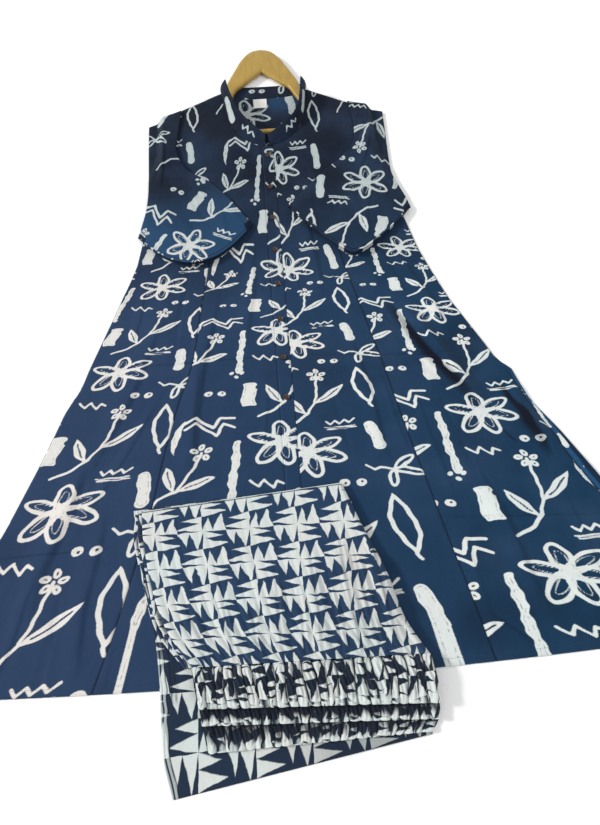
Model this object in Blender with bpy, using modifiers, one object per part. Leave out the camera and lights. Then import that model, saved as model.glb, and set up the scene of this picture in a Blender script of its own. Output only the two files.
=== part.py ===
# A kurti laid flat on its hanger, with its palazzo trousers folded on the skirt.
# Metres, +Z up. The kurti's length runs along +Y, neck away from the viewer, and
# its hem lies near y = 0 while it is made. At the end the whole set is moved so
# that the origin is at the centre of its footprint, on the surface it lies on.
import math
from collections import namedtuple

import bmesh
import bpy
from mathutils import Matrix, Vector

# Driving sizes
CLOTH = 0.0012
SEAM_GAP = 0.0003
FRONT_REST = 2 * CLOTH + SEAM_GAP
PLACKET_HALF = 0.012
PLACKET_LIFT = 0.0003
HEM_RISE = 0.045
HANGER_Z = 0.0016
HANGER_THICK = 0.012
HANGER_TIP_THICK = 0.009
HANGER_EDGE = 0.0035
BAR_RADIUS = 0.005
BAR_Y = 1.047
BAR_Z = 0.0018
BAR_HALF = 0.1577
# How the cloth comes down from the hanger: at the shoulder seam, down the chest
# and out past the arms
SHOULDER_SLOPE = 0.51
SHOULDER_ROUND = 0.014
SHOULDER_EDGE = 0.07
CHEST_FROM, CHEST_TO = 0.915, 1.030
ARM_FROM, ARM_TO = 0.202, 0.226
HANGER_CLEAR = 0.0008
HANGER_LOWER_PER_M = 0.028
HANGER_LOWER_FROM = 0.07
HANGER_LOWER_OVER = 0.1
SLEEVE_CLEAR = 0.0006
SLEEVE_REACH = (-0.014, -0.007, 0.0, 0.007, 0.014)
SLEEVE_FULLNESS = 0.7
# Over what distance a sleeve comes down beside the body's edge
BODY_EDGE = (-0.001, 0.016)
BUTTON_RADIUS = 0.0052
BUTTON_THICK = 0.0026
BUTTON_BEVEL = 0.0006
BUTTON_CLEAR = 0.0004
LABEL_SIZE = (0.029, 0.027, 0.001)
LABEL_MIDDLE = (-0.008, 1.1335)
PALAZZO_REST = FRONT_REST + PLACKET_LIFT + SEAM_GAP
GATHERS = 24
GATHER_UNEVEN = 0.22
GATHER_BEATS = (2.3, 0.71)

# One row across the front for each height. The inner end is at the placket, and
# above the bottom of the neck opening it follows the neck seam. The outer end is
# on the panel seam, and above the bust on the armhole.
Front = namedtuple("Front", "inner_l inner_r inner_y outer_l outer_r outer_y")
FRONT_ROWS = [
    Front(0.000, 0.000, 0.006, -0.300, 0.267, 0.006),
    Front(0.000, 0.000, 0.090, -0.272, 0.251, 0.090),
    Front(0.000, 0.000, 0.190, -0.242, 0.230, 0.190),
    Front(0.000, 0.000, 0.270, -0.221, 0.214, 0.270),
    Front(0.000, 0.000, 0.350, -0.204, 0.197, 0.350),
    Front(0.000, 0.000, 0.440, -0.181, 0.180, 0.440),
    Front(0.000, 0.000, 0.520, -0.156, 0.165, 0.520),
    Front(0.000, 0.000, 0.620, -0.141, 0.144, 0.620),
    Front(0.000, 0.000, 0.730, -0.124, 0.122, 0.730),
    Front(0.000, 0.000, 0.810, -0.122, 0.121, 0.810),
    Front(0.000, 0.000, 0.865, -0.136, 0.134, 0.880),
    Front(0.000, 0.000, 0.915, -0.160, 0.158, 0.932),
    Front(0.000, 0.000, 0.955, -0.184, 0.183, 0.975),
    Front(0.000, 0.000, 0.980, -0.195, 0.194, 1.005),
    Front(-0.003, 0.003, 0.998, -0.197, 0.196, 1.025),
    Front(-0.028, 0.030, 1.008, -0.197, 0.197, 1.042),
    Front(-0.052, 0.055, 1.026, -0.196, 0.197, 1.058),
    Front(-0.070, 0.073, 1.054, -0.196, 0.197, 1.072),
    Front(-0.079, 0.082, 1.087, -0.195, 0.197, 1.084),
    Front(-0.084, 0.087, 1.120, -0.195, 0.197, 1.094),
    Front(-0.087, 0.089, 1.145, -0.194, 0.197, 1.102),
    Front(-0.089, 0.091, 1.163, -0.194, 0.197, 1.109),
]
HIP_ROW = 6
ARMHOLE_ROW = 13
NECK_ROW = 14
SHOULDER_ROW = 21
ARMHOLE_ROWS = (ARMHOLE_ROW, NECK_ROW, 16, 18, SHOULDER_ROW)
# How far apart the cut rows are, as steps of the table above
ROW_STEPS = [(0, 3, 8), (3, 8, 13), (8, 14, 12), (14, 20, 8)]
SHOULDER_STEPS = [20.4, 20.67, 20.86, 21.0]
CENTRE_COLUMNS = 6

# The side edge of the skirt, from the hem to the armhole
Side = namedtuple("Side", "row left left_y right right_y")
SIDE_ROWS = [
    Side(0, -0.552, 0.006, 0.622, 0.006),
    Side(1, -0.517, 0.090, 0.584, 0.090),
    Side(2, -0.475, 0.190, 0.531, 0.190),
    Side(3, -0.437, 0.270, 0.486, 0.270),
    Side(4, -0.403, 0.350, 0.443, 0.350),
    Side(4.6, -0.382, 0.404, 0.409, 0.404),
    Side(5, -0.369, 0.440, 0.396, 0.440),
    Side(5.35, -0.354, 0.468, 0.388, 0.468),
    Side(5.6, -0.343, 0.488, 0.366, 0.488),
    Side(6, -0.333, 0.520, 0.352, 0.520),
    Side(7, -0.296, 0.620, 0.305, 0.620),
    Side(8, -0.257, 0.730, 0.268, 0.730),
    Side(9, -0.243, 0.810, 0.252, 0.810),
    Side(10, -0.233, 0.862, 0.238, 0.862),
    Side(11, -0.222, 0.905, 0.224, 0.905),
    Side(12, -0.202, 0.958, 0.202, 0.958),
]
SIDE_COLUMNS = 8

# The largest folds of the front: where each starts and ends, how high, how wide
Fold = namedtuple("Fold", "x0 y0 x1 y1 rise half_width")
FOLDS = [
    Fold(0.210, 0.640, 0.345, 0.405, 0.0085, 0.030),
    Fold(0.372, 0.475, 0.440, 0.320, 0.0075, 0.028),
    Fold(0.470, 0.330, 0.560, 0.170, 0.0040, 0.034),
    Fold(0.118, 0.560, 0.158, 0.300, 0.0030, 0.026),
    Fold(-0.118, 0.640, -0.170, 0.300, 0.0035, 0.030),
    Fold(-0.205, 0.620, -0.330, 0.300, 0.0030, 0.034),
    Fold(-0.330, 0.360, -0.400, 0.120, 0.0040, 0.038),
    Fold(-0.300, 0.260, -0.330, 0.030, 0.0030, 0.030),
    Fold(0.290, 0.300, 0.360, 0.060, 0.0045, 0.036),
    Fold(0.230, 0.720, 0.290, 0.560, 0.0045, 0.026),
    Fold(-0.040, 0.760, -0.060, 0.560, 0.0022, 0.026),
    Fold(0.060, 0.900, 0.075, 0.640, 0.0025, 0.026),
]
# The flat place on the skirt where the palazzo lies, and how softly it ends
PALAZZO_PLACE = (-0.262, 0.192, 0.300)
PLACE_BLEND = 0.035

# Top edge of the standing collar, row by row from the neck opening's bottom
Collar = namedtuple("Collar", "row left left_y left_z right right_y right_z")
COLLAR_ROWS = [
    Collar(14, -0.0016, 1.021, 0.0230, 0.0016, 1.021, 0.0230),
    Collar(15, -0.0130, 1.033, 0.0255, 0.0170, 1.031, 0.0255),
    Collar(16, -0.0300, 1.052, 0.0280, 0.0360, 1.047, 0.0285),
    Collar(17, -0.0460, 1.073, 0.0310, 0.0560, 1.064, 0.0330),
    Collar(18, -0.0570, 1.095, 0.0350, 0.0690, 1.086, 0.0380),
    Collar(19, -0.0670, 1.119, 0.0400, 0.0750, 1.112, 0.0420),
    Collar(20, -0.0730, 1.143, 0.0420, 0.0780, 1.138, 0.0430),
    Collar(21, -0.0770, 1.164, 0.0410, 0.0805, 1.161, 0.0420),
]
# The collar's lowest foot, its foot's own height, and how its wall bows outwards
COLLAR_LOWEST = 0.008
COLLAR_FOOT = 0.0011
COLLAR_BOW = 0.0015
COLLAR_BELLY = Vector((0.0, -0.001, 0.0012))
BACK_NECK_DIP = 1.148
BACK_NECK_ROUND = 2.6
BACK_NECK_STEPS = 8
BACK_COLLAR_TOP = 1.185
BACK_COLLAR_CURVE = 0.35
BACK_HEM_X = (0.45, 0.27, 0.0, -0.27, -0.42)

# The sleeves: two long sides, the sag of each row towards the cuff, the height
# of the flattened tube in the middle of the row
Sleeve = namedtuple("Sleeve", "outer_x outer_y inner_x inner_y sag loft")
SLEEVE_LEFT = [
    Sleeve(-0.2400, 1.081, -0.1740, 1.114, 0.000, 0.0040),
    Sleeve(-0.2395, 1.028, -0.1800, 1.048, 0.000, 0.0044),
    Sleeve(-0.2385, 0.975, -0.1840, 0.996, 0.004, 0.0048),
    Sleeve(-0.2375, 0.932, -0.1640, 0.952, 0.010, 0.0052),
    Sleeve(-0.2375, 0.896, -0.1200, 0.920, 0.022, 0.0056),
    Sleeve(-0.2410, 0.856, -0.0880, 0.882, 0.040, 0.0060),
    Sleeve(-0.2480, 0.820, -0.0620, 0.842, 0.060, 0.0062),
    Sleeve(-0.2540, 0.792, -0.0410, 0.806, 0.076, 0.0062),
]
SLEEVE_RIGHT = [
    Sleeve(0.2460, 1.089, 0.1760, 1.116, 0.000, 0.0040),
    Sleeve(0.2445, 1.042, 0.1820, 1.052, 0.000, 0.0044),
    Sleeve(0.2425, 0.992, 0.1760, 0.998, 0.004, 0.0048),
    Sleeve(0.2415, 0.950, 0.1500, 0.962, 0.012, 0.0052),
    Sleeve(0.2420, 0.915, 0.1150, 0.935, 0.030, 0.0056),
    Sleeve(0.2520, 0.879, 0.0800, 0.900, 0.055, 0.0060),
    Sleeve(0.2610, 0.852, 0.0530, 0.870, 0.085, 0.0062),
    Sleeve(0.2660, 0.827, 0.0330, 0.844, 0.113, 0.0062),
]
SLEEVE_STEPS = 11
SLEEVE_COLUMNS = 8
FOLDED_EDGE = 0.0034
# Where the cuff sags most, across its width, and how round that sag is
CUFF_LEFT = (0.50, 2.0)
CUFF_RIGHT = (0.52, 1.35)

# The wooden hanger: outer and inner edge of one arm, from the crown to the tip
Arm = namedtuple("Arm", "outer_x outer_y inner_x inner_y")
ARM_ROWS = [
    Arm(0.000, 1.290, 0.000, 1.221),
    Arm(0.022, 1.284, 0.012, 1.210),
    Arm(0.042, 1.260, 0.027, 1.196),
    Arm(0.058, 1.227, 0.042, 1.182),
    Arm(0.076, 1.186, 0.056, 1.169),
    Arm(0.0835, 1.154, 0.068, 1.144),
    Arm(0.104, 1.136, 0.082, 1.118),
    Arm(0.130, 1.121, 0.114, 1.097),
    Arm(0.161, 1.103, 0.150, 1.079),
    Arm(0.177, 1.080, 0.158, 1.064),
    Arm(0.177, 1.038, 0.158, 1.038),
]

# Buttons down the placket, at even steps
BUTTON_FIRST_Y = 0.442
BUTTON_STEP = 0.0765
BUTTONS = 8

# The folded palazzo: left and right end of each row, and the height of its top
# layer there, from the far fold to the seam where the elastic casing starts
Layer = namedtuple("Layer", "left_x left_y right_x right_y top pleat")
PALAZZO_TOP = [
    Layer(-0.2360, 0.2640, 0.0740, 0.2860, 0.0062, 0.0000),
    Layer(-0.2355, 0.2605, 0.0770, 0.2820, 0.0108, 0.0002),
    Layer(-0.2350, 0.2540, 0.0800, 0.2740, 0.0134, 0.0003),
    Layer(-0.2320, 0.2150, 0.1020, 0.2120, 0.0140, 0.0006),
    Layer(-0.2180, 0.1450, 0.1280, 0.1460, 0.0146, 0.0011),
    Layer(-0.1960, 0.0850, 0.1460, 0.0780, 0.0156, 0.0018),
    Layer(-0.1600, 0.0340, 0.1740, 0.0270, 0.0166, 0.0010),
]
# How far the top layer has turned down, at its folded side and a column inside it
TURN_DOWN = (0.0062, 0.0016)
# The lowest leg layer, from the far fold to its own hem on the floor
Leg = namedtuple("Leg", "left_x left_y right_x right_y")
PALAZZO_LEG = [
    Leg(-0.2500, 0.2660, 0.0760, 0.2850),
    Leg(-0.2420, 0.2050, 0.1030, 0.2080),
    Leg(-0.2300, 0.1400, 0.1280, 0.1450),
    Leg(-0.2150, 0.0800, 0.1450, 0.0800),
    Leg(-0.2080, 0.0260, 0.1640, 0.0260),
    Leg(-0.2060, 0.0040, 0.1660, 0.0040),
    Leg(-0.2050, -0.0180, 0.1680, -0.0180),
    Leg(-0.2040, -0.0400, 0.1690, -0.0370),
    Leg(-0.2000, -0.0800, 0.1670, -0.0570),
    Leg(-0.1880, -0.1240, 0.1620, -0.0740),
]
LEG_COLUMNS = 6
HEM_STEP_FROM = 0.001
HEM_STEP_TO = -0.018
# The three gathered edges of the elastic casing share one set of rows. Each has
# its own height at a row, or none where it doesn't reach.
Casing = namedtuple("Casing", "left_x left_y right_x right_y puff front middle back")
CASING_ROWS = [
    Casing(-0.1600, 0.0337, 0.1740, 0.0267, 0.0010, 0.0166, None, None),
    Casing(-0.1580, 0.0210, 0.1760, 0.0120, 0.0026, 0.0186, None, None),
    Casing(-0.1550, 0.0020, 0.1770, -0.0120, 0.0028, 0.0160, 0.0092, None),
    Casing(-0.1510, -0.0190, 0.1765, -0.0365, 0.0026, 0.0104, 0.0085, 0.0046),
    Casing(-0.1480, -0.0400, 0.1730, -0.0560, 0.0023, None, 0.0052, 0.0034),
    Casing(-0.1410, -0.0740, 0.1620, -0.0705, 0.0020, None, None, 0.0028),
]
# Steps of the hidden layers' stacked edges: distance out, height below the top
STACK_STEPS = [(-0.0120, 0.0062), (-0.0084, 0.0062), (-0.0080, 0.0032),
               (-0.0044, 0.0032), (-0.0040, 0.0000)]
STACK_INSET = 0.012
STACK_CLEAR = 0.0005
# The stack stops short of the far fold and runs just past the casing's seam
STACK_STATIONS = {2: -0.006, 3: 0.0, 4: 0.0, 5: 0.0, 6: 0.004}

# Colours of the plain solids: base colour, roughness
NAVY = ((0.035, 0.080, 0.190, 1.0), 0.85)
NAVY_DARK = ((0.020, 0.045, 0.110, 1.0), 0.85)
MINT = ((0.620, 0.700, 0.650, 1.0), 0.85)
WHITE = ((0.850, 0.830, 0.760, 1.0), 0.80)
WOOD = ((0.450, 0.270, 0.060, 1.0), 0.45)
BROWN = ((0.090, 0.045, 0.025, 1.0), 0.35)


# Small sums
def clamp(value, low=0.0, high=1.0):
    return max(low, min(high, value))


def smooth_step(low, high, value):
    part = clamp((value - low) / (high - low))
    return part * part * (3 - 2 * part)


def curve_through(values, position):
    """Read a smooth curve through the listed values at a fractional position."""
    last = len(values) - 1
    index = min(int(position), last - 1)
    part = position - index
    before = values[max(index - 1, 0)]
    start, end = values[index], values[index + 1]
    after = values[min(index + 2, last)]
    slope_start, slope_end = (end - before) / 2, (after - start) / 2
    square, cube = part * part, part * part * part
    return (start * (2 * cube - 3 * square + 1) + slope_start * (cube - 2 * square + part)
            + end * (3 * square - 2 * cube) + slope_end * (cube - square))


def table_at(table, position):
    """Blend a table's rows smoothly, column by column."""
    columns = zip(*table)
    return type(table[0])(*(curve_through(list(column), position) for column in columns))


def keyed_at(table, key):
    """Blend a table whose first column is its own position."""
    for low, high in zip(table, table[1:]):
        if key <= high[0]:
            part = clamp((key - low[0]) / (high[0] - low[0]))
            return type(low)(*(a + (b - a) * part for a, b in zip(low, high)))
    return table[-1]


def row_positions():
    positions = []
    for first, last, count in ROW_STEPS:
        positions += [first + (last - first) * step / count for step in range(count)]
    return positions + [ROW_STEPS[-1][1]] + SHOULDER_STEPS


# The form of the kurti's front
def shoulder_y(x):
    """Height of the shoulder seam at a distance from the middle."""
    neck = FRONT_ROWS[SHOULDER_ROW]
    return neck.inner_y - (abs(x) - abs(neck.inner_l)) * SHOULDER_SLOPE


def hanger_rise(x, y):
    """How far the hanger under the shoulders lifts the cloth."""
    lower = HANGER_LOWER_PER_M * clamp(abs(x) - HANGER_LOWER_FROM, 0.0, HANGER_LOWER_OVER)
    height = HANGER_THICK + HANGER_CLEAR - lower
    below = (shoulder_y(x) - y) * math.cos(math.atan(SHOULDER_SLOPE))
    near = clamp(below / SHOULDER_ROUND)
    rounded = max(SHOULDER_EDGE, math.sqrt(max(0.0, 1 - (1 - near) ** 2)))
    towards_chest = smooth_step(CHEST_FROM, CHEST_TO, y)
    towards_arm = 1 - smooth_step(ARM_FROM, ARM_TO, abs(x))
    return height * rounded * towards_chest * towards_arm


def palazzo_clear(x, y):
    """Nought where the palazzo lies on the skirt, one well away from it."""
    left, right, top = PALAZZO_PLACE
    aside = max(left - x, x - right, y - top)
    return smooth_step(0.0, PLACE_BLEND, aside)


def fold_rise(x, y):
    total = 0.0
    for fold in FOLDS:
        run_x, run_y = fold.x1 - fold.x0, fold.y1 - fold.y0
        length = math.hypot(run_x, run_y)
        along = ((x - fold.x0) * run_x + (y - fold.y0) * run_y) / (length * length)
        across = ((x - fold.x0) * run_y - (y - fold.y0) * run_x) / length
        if -0.15 < along < 1.15 and abs(across) < fold.half_width:
            taper = smooth_step(-0.15, 0.3, along) * (1 - smooth_step(0.7, 1.15, along))
            total += fold.rise * taper * math.cos(across / fold.half_width * math.pi / 2) ** 2
    return total * palazzo_clear(x, y)


def front_top(x, y):
    return FRONT_REST + hanger_rise(x, y) + fold_rise(x, y)


def front_point(x, y):
    """A point on the front's outer face. The hem curves up towards the sides."""
    hem = HEM_RISE * x * x * (1 - smooth_step(0.0, 0.25, y))
    return Vector((x, y + hem, front_top(x, y + hem)))


def side_edge(row, side):
    edge = keyed_at(SIDE_ROWS, row)
    return (edge.left, edge.left_y) if side < 0 else (edge.right, edge.right_y)


def panel_end(row, side):
    """Outer end of a centre panel's row, before the seam gap."""
    front = table_at(FRONT_ROWS, row)
    return (front.outer_l if side < 0 else front.outer_r), front.outer_y


def neck_end(row, side):
    front = table_at(FRONT_ROWS, row)
    return (front.inner_l if side < 0 else front.inner_r), front.inner_y


# Making meshes
def add_object(name, mesh, finish):
    colour, roughness = finish
    material = bpy.data.materials.new(name)
    material.use_nodes = True
    shader = material.node_tree.nodes["Principled BSDF"]
    shader.inputs["Base Color"].default_value = colour
    shader.inputs["Roughness"].default_value = roughness
    mesh.materials.append(material)
    thing = bpy.data.objects.new(name, mesh)
    PARTS.objects.link(thing)
    return thing


def grid_faces(rows, columns, first=0, flip=False):
    faces = []
    for row in range(rows - 1):
        for column in range(columns - 1):
            a = first + row * columns + column
            b, c, d = a + 1, a + columns + 1, a + columns
            faces += [(a, c, b), (a, d, c)] if flip else [(a, b, c), (a, c, d)]
    return faces


def cloth_wall(name, rows, finish, flip=False):
    """A sheet from rows of points on its outer face, given its thickness inwards."""
    mesh = bpy.data.meshes.new(name)
    points = [tuple(point) for row in rows for point in row]
    mesh.from_pydata(points, [], grid_faces(len(rows), len(rows[0]), flip=flip))
    thing = add_object(name, mesh, finish)
    wall = thing.modifiers.new("cloth", "SOLIDIFY")
    wall.thickness = CLOTH
    wall.offset = -1.0
    wall.use_even_offset = True
    wall.use_rim = True
    mesh.shade_smooth()
    return thing


def flat_solid(name, tops, bottoms, finish):
    """A closed solid between rows of top points and as many bottom points."""
    rows, columns = len(tops), len(tops[0])
    count = rows * columns
    points = [tuple(point) for row in tops for point in row]
    points += [tuple(point) for row in bottoms for point in row]
    faces = grid_faces(rows, columns) + grid_faces(rows, columns, first=count, flip=True)
    ring = [column for column in range(columns)]
    ring += [row * columns + columns - 1 for row in range(1, rows)]
    ring += [(rows - 1) * columns + column for column in range(columns - 2, -1, -1)]
    ring += [row * columns for row in range(rows - 2, 0, -1)]
    for here, there in zip(ring, ring[1:] + ring[:1]):
        faces += [(here, here + count, there + count), (here, there + count, there)]
    mesh = bpy.data.meshes.new(name)
    mesh.from_pydata(points, [], faces)
    return add_object(name, mesh, finish)


def flat_outline(name, points, thickness, finish):
    """A flat piece of cloth on the surface, cut to an outline."""
    curve = bpy.data.curves.new(name, "CURVE")
    curve.dimensions = "2D"
    curve.fill_mode = "BOTH"
    curve.extrude = thickness / 2
    spline = curve.splines.new("POLY")
    spline.points.add(len(points) - 1)
    for knot, (x, y) in zip(spline.points, points):
        knot.co = (x, y, 0.0, 1.0)
    spline.use_cyclic_u = True
    guide = bpy.data.objects.new(name + "_outline", curve)
    bpy.context.scene.collection.objects.link(guide)
    graph = bpy.context.evaluated_depsgraph_get()
    mesh = bpy.data.meshes.new_from_object(guide.evaluated_get(graph))
    bpy.data.objects.remove(guide)
    shape = bmesh.new()
    shape.from_mesh(mesh)
    bmesh.ops.remove_doubles(shape, verts=shape.verts, dist=0.00001)
    bmesh.ops.translate(shape, verts=shape.verts, vec=(0.0, 0.0, thickness / 2))
    shape.to_mesh(mesh)
    shape.free()
    mesh.name = name
    return add_object(name, mesh, finish)


# The kurti's back, one plain flat piece
def make_back():
    skirt = [edge.row for edge in SIDE_ROWS]
    left = [front_point(*side_edge(row, -1)) for row in skirt]
    left += [Vector(panel_end(row, -1)) for row in ARMHOLE_ROWS]
    right = [front_point(*side_edge(row, 1)) for row in skirt]
    right += [Vector(panel_end(row, 1)) for row in ARMHOLE_ROWS]
    neck_left, neck_y = neck_end(SHOULDER_ROW, -1)
    neck_right = neck_end(SHOULDER_ROW, 1)[0]
    neck = []
    for step in range(BACK_NECK_STEPS + 1):
        x = neck_left + (neck_right - neck_left) * step / BACK_NECK_STEPS
        spread = abs(x / neck_right)
        neck.append((x, BACK_NECK_DIP + (neck_y - BACK_NECK_DIP) * spread ** BACK_NECK_ROUND))
    hem = [front_point(x, FRONT_ROWS[0].inner_y) for x in BACK_HEM_X]
    outline = [(p.x, p.y) for p in left] + neck + [(p.x, p.y) for p in reversed(right)]
    outline += [(p.x, p.y) for p in hem]
    flat_outline("kurti_back", outline, CLOTH, NAVY_DARK)
    collar_foot = [(x, y + SEAM_GAP) for x, y in neck]
    collar_top = [(x, BACK_COLLAR_TOP + BACK_COLLAR_CURVE * x * x) for x, y in reversed(neck)]
    flat_outline("collar_back", collar_foot + collar_top, CLOTH, NAVY_DARK)


# The two centre front panels, from the placket to the panel seams
def centre_row(row, side):
    inner_x, inner_y = neck_end(row, side)
    outer_x, outer_y = panel_end(row, side)
    near = side * (PLACKET_HALF + SEAM_GAP)
    if abs(inner_x) < abs(near):
        inner_x = near
    outer_x -= side * SEAM_GAP / 2
    points = []
    for column in range(CENTRE_COLUMNS + 1):
        part = column / CENTRE_COLUMNS
        points.append(front_point(inner_x + (outer_x - inner_x) * part,
                                  inner_y + (outer_y - inner_y) * part))
    return points if side > 0 else points[::-1]


def make_centre(name, side):
    cloth_wall(name, [centre_row(row, side) for row in row_positions()], NAVY)


# The two side front panels, from the panel seams to the side seams
def side_row(row, side):
    inner_x, inner_y = panel_end(row, side)
    outer_x, outer_y = side_edge(row, side)
    inner_x += side * SEAM_GAP / 2
    points = []
    for column in range(SIDE_COLUMNS + 1):
        part = column / SIDE_COLUMNS
        points.append(front_point(inner_x + (outer_x - inner_x) * part,
                                  inner_y + (outer_y - inner_y) * part))
    return points if side > 0 else points[::-1]


def make_side(name, side):
    rows = [row for row in row_positions() if row <= SIDE_ROWS[-1].row]
    cloth_wall(name, [side_row(row, side) for row in rows], NAVY)


# The placket between the centre panels, a little proud of them
def make_placket():
    rows = []
    for row in row_positions():
        if row <= NECK_ROW:
            y = neck_end(row, 1)[1]
            points = [front_point(x, y) for x in (-PLACKET_HALF, 0.0, PLACKET_HALF)]
            rows.append([point + Vector((0, 0, PLACKET_LIFT)) for point in points])
    cloth_wall("placket", rows, NAVY)


def make_buttons():
    for index in range(BUTTONS):
        y = BUTTON_FIRST_Y + index * BUTTON_STEP
        reach = 2 * BUTTON_RADIUS
        ends = [front_point(0.0, y - reach), front_point(0.0, y + reach)]
        tilt = math.atan2(ends[1].z - ends[0].z, ends[1].y - ends[0].y)
        height = max(front_point(0.0, y).z, (ends[0].z + ends[1].z) / 2)
        centre = Vector((0.0, y, height + PLACKET_LIFT))
        lift = Vector((0.0, -math.sin(tilt), math.cos(tilt)))
        centre += lift * (BUTTON_THICK / 2 + BUTTON_CLEAR)
        bpy.ops.mesh.primitive_cylinder_add(
            vertices=12, radius=BUTTON_RADIUS, depth=BUTTON_THICK)
        button = bpy.context.object
        mesh = button.data
        mesh.transform(Matrix.Translation(centre) @ Matrix.Rotation(tilt, 4, "X"))
        bpy.data.objects.remove(button)
        mesh.name = "button_%d" % (index + 1)
        placed = add_object(mesh.name, mesh, BROWN)
        edge = placed.modifiers.new("edge", "BEVEL")
        edge.width = BUTTON_BEVEL
        edge.segments = 1
        edge.limit_method = "ANGLE"


# The standing collar's two front halves, from the neck seam to their top edge
def make_collar_half(name, side):
    rows = []
    for row in row_positions():
        if row < NECK_ROW:
            continue
        base_x, base_y = neck_end(row, side)
        if abs(base_x) < PLACKET_HALF / 3:
            base_x = side * PLACKET_HALF / 3
        edge = keyed_at(COLLAR_ROWS, row)
        if side < 0:
            top = Vector((edge.left, edge.left_y, edge.left_z))
        else:
            top = Vector((edge.right, edge.right_y, edge.right_z))
        seat = front_top(base_x, base_y) + (PLACKET_LIFT + SEAM_GAP)
        base = Vector((base_x, base_y, max(seat, COLLAR_LOWEST) + COLLAR_FOOT))
        middle = (base + top) / 2 + Vector((side * COLLAR_BOW, 0.0, 0.0)) + COLLAR_BELLY
        points = [base, middle, top]
        rows.append(points[::-1] if side > 0 else points)
    cloth_wall(name, rows, NAVY)


# A sleeve: a flattened tube laid on the front, open at the armhole and the cuff
def body_under(x, y):
    """Height of what a sleeve lies on: the front, or the surface beside it."""
    edges = [(edge.left_y if x < 0 else edge.right_y, abs(edge.left if x < 0 else edge.right))
             for edge in SIDE_ROWS if edge.row > HIP_ROW]
    edges += [(front.outer_y, abs(front.outer_l if x < 0 else front.outer_r))
              for front in FRONT_ROWS[ARMHOLE_ROW:]]
    reach = edges[-1][1]
    for (low_y, low_x), (high_y, high_x) in zip(edges, edges[1:]):
        if low_y <= y <= high_y:
            reach = low_x + (high_x - low_x) * (y - low_y) / (high_y - low_y)
    beside = 1 - smooth_step(*BODY_EDGE, abs(x) - reach)
    return front_top(x, y) * beside


def sleeve_ring(row, cuff):
    peak, roundness = cuff
    lower, upper = [], []
    for column in range(SLEEVE_COLUMNS + 1):
        part = column / SLEEVE_COLUMNS
        x = row.outer_x + (row.inner_x - row.outer_x) * part
        y = row.outer_y + (row.inner_y - row.outer_y) * part
        away = (part - peak) / (peak if part < peak else 1 - peak)
        y -= row.sag * (1 - abs(away) ** roundness)
        rest = max(body_under(x + dx, y + dy) for dx in SLEEVE_REACH for dy in SLEEVE_REACH)
        arch = math.sin(math.pi * part) ** SLEEVE_FULLNESS if 0 < part < 1 else 0.0
        height = FOLDED_EDGE + max(row.loft - FOLDED_EDGE, 0.0) * arch
        lower.append(Vector((x, y, rest + SLEEVE_CLEAR)))
        upper.append(Vector((x, y, rest + SLEEVE_CLEAR + height)))
    turn = FOLDED_EDGE / 2
    way = Vector((row.inner_x - row.outer_x, row.inner_y - row.outer_y, 0)).normalized()
    inner_fold = (lower[-1] + upper[-1]) / 2 + way * turn
    outer_fold = (lower[0] + upper[0]) / 2 - way * turn
    return lower + [inner_fold] + upper[::-1] + [outer_fold]


def make_sleeve(name, table, cuff):
    rings = []
    for step in range(SLEEVE_STEPS + 1):
        row = table_at(table, step * (len(table) - 1) / SLEEVE_STEPS)
        rings.append(sleeve_ring(row, cuff))
    count = len(rings[0])
    faces = []
    for step in range(SLEEVE_STEPS):
        for index in range(count):
            a, b = step * count + index, step * count + (index + 1) % count
            c, d = b + count, a + count
            faces += [(a, b, c), (a, c, d)]
    points = [point for ring in rings for point in ring]
    a, b, c = (points[index] for index in faces[0])
    if (b - a).cross(c - a).z > 0:
        faces = [face[::-1] for face in faces]
    mesh = bpy.data.meshes.new(name)
    mesh.from_pydata([tuple(point) for point in points], [], faces)
    thing = add_object(name, mesh, NAVY)
    wall = thing.modifiers.new("cloth", "SOLIDIFY")
    wall.thickness = CLOTH
    wall.offset = -1.0
    mesh.shade_smooth()


# The blank neck label, a small flat tab on the back
def make_label():
    bpy.ops.mesh.primitive_cube_add(size=1.0)
    tab = bpy.context.object
    mesh = tab.data
    centre = (*LABEL_MIDDLE, CLOTH + SEAM_GAP + LABEL_SIZE[2] / 2)
    mesh.transform(Matrix.Translation(centre) @ Matrix.Diagonal((*LABEL_SIZE, 1.0)))
    bpy.data.objects.remove(tab)
    mesh.name = "neck_label"
    add_object("neck_label", mesh, WHITE)


# The wooden hanger, and the round bar between its ends
def arm_section(arm, mirror):
    outer = Vector((arm.outer_x * mirror, arm.outer_y, 0))
    inner = Vector((arm.inner_x * mirror, arm.inner_y, 0))
    taper = clamp(arm.outer_x / ARM_ROWS[-1].outer_x)
    thick = HANGER_THICK + (HANGER_TIP_THICK - HANGER_THICK) * taper
    way = (inner - outer).normalized()
    ease = HANGER_EDGE
    low, high = HANGER_Z, HANGER_Z + thick
    return [outer + Vector((0, 0, low + ease)), outer + Vector((0, 0, high - ease)),
            outer + way * ease + Vector((0, 0, high)), inner - way * ease + Vector((0, 0, high)),
            inner + Vector((0, 0, high - ease)), inner + Vector((0, 0, low + ease)),
            inner - way * ease + Vector((0, 0, low)), outer + way * ease + Vector((0, 0, low))]


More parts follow.
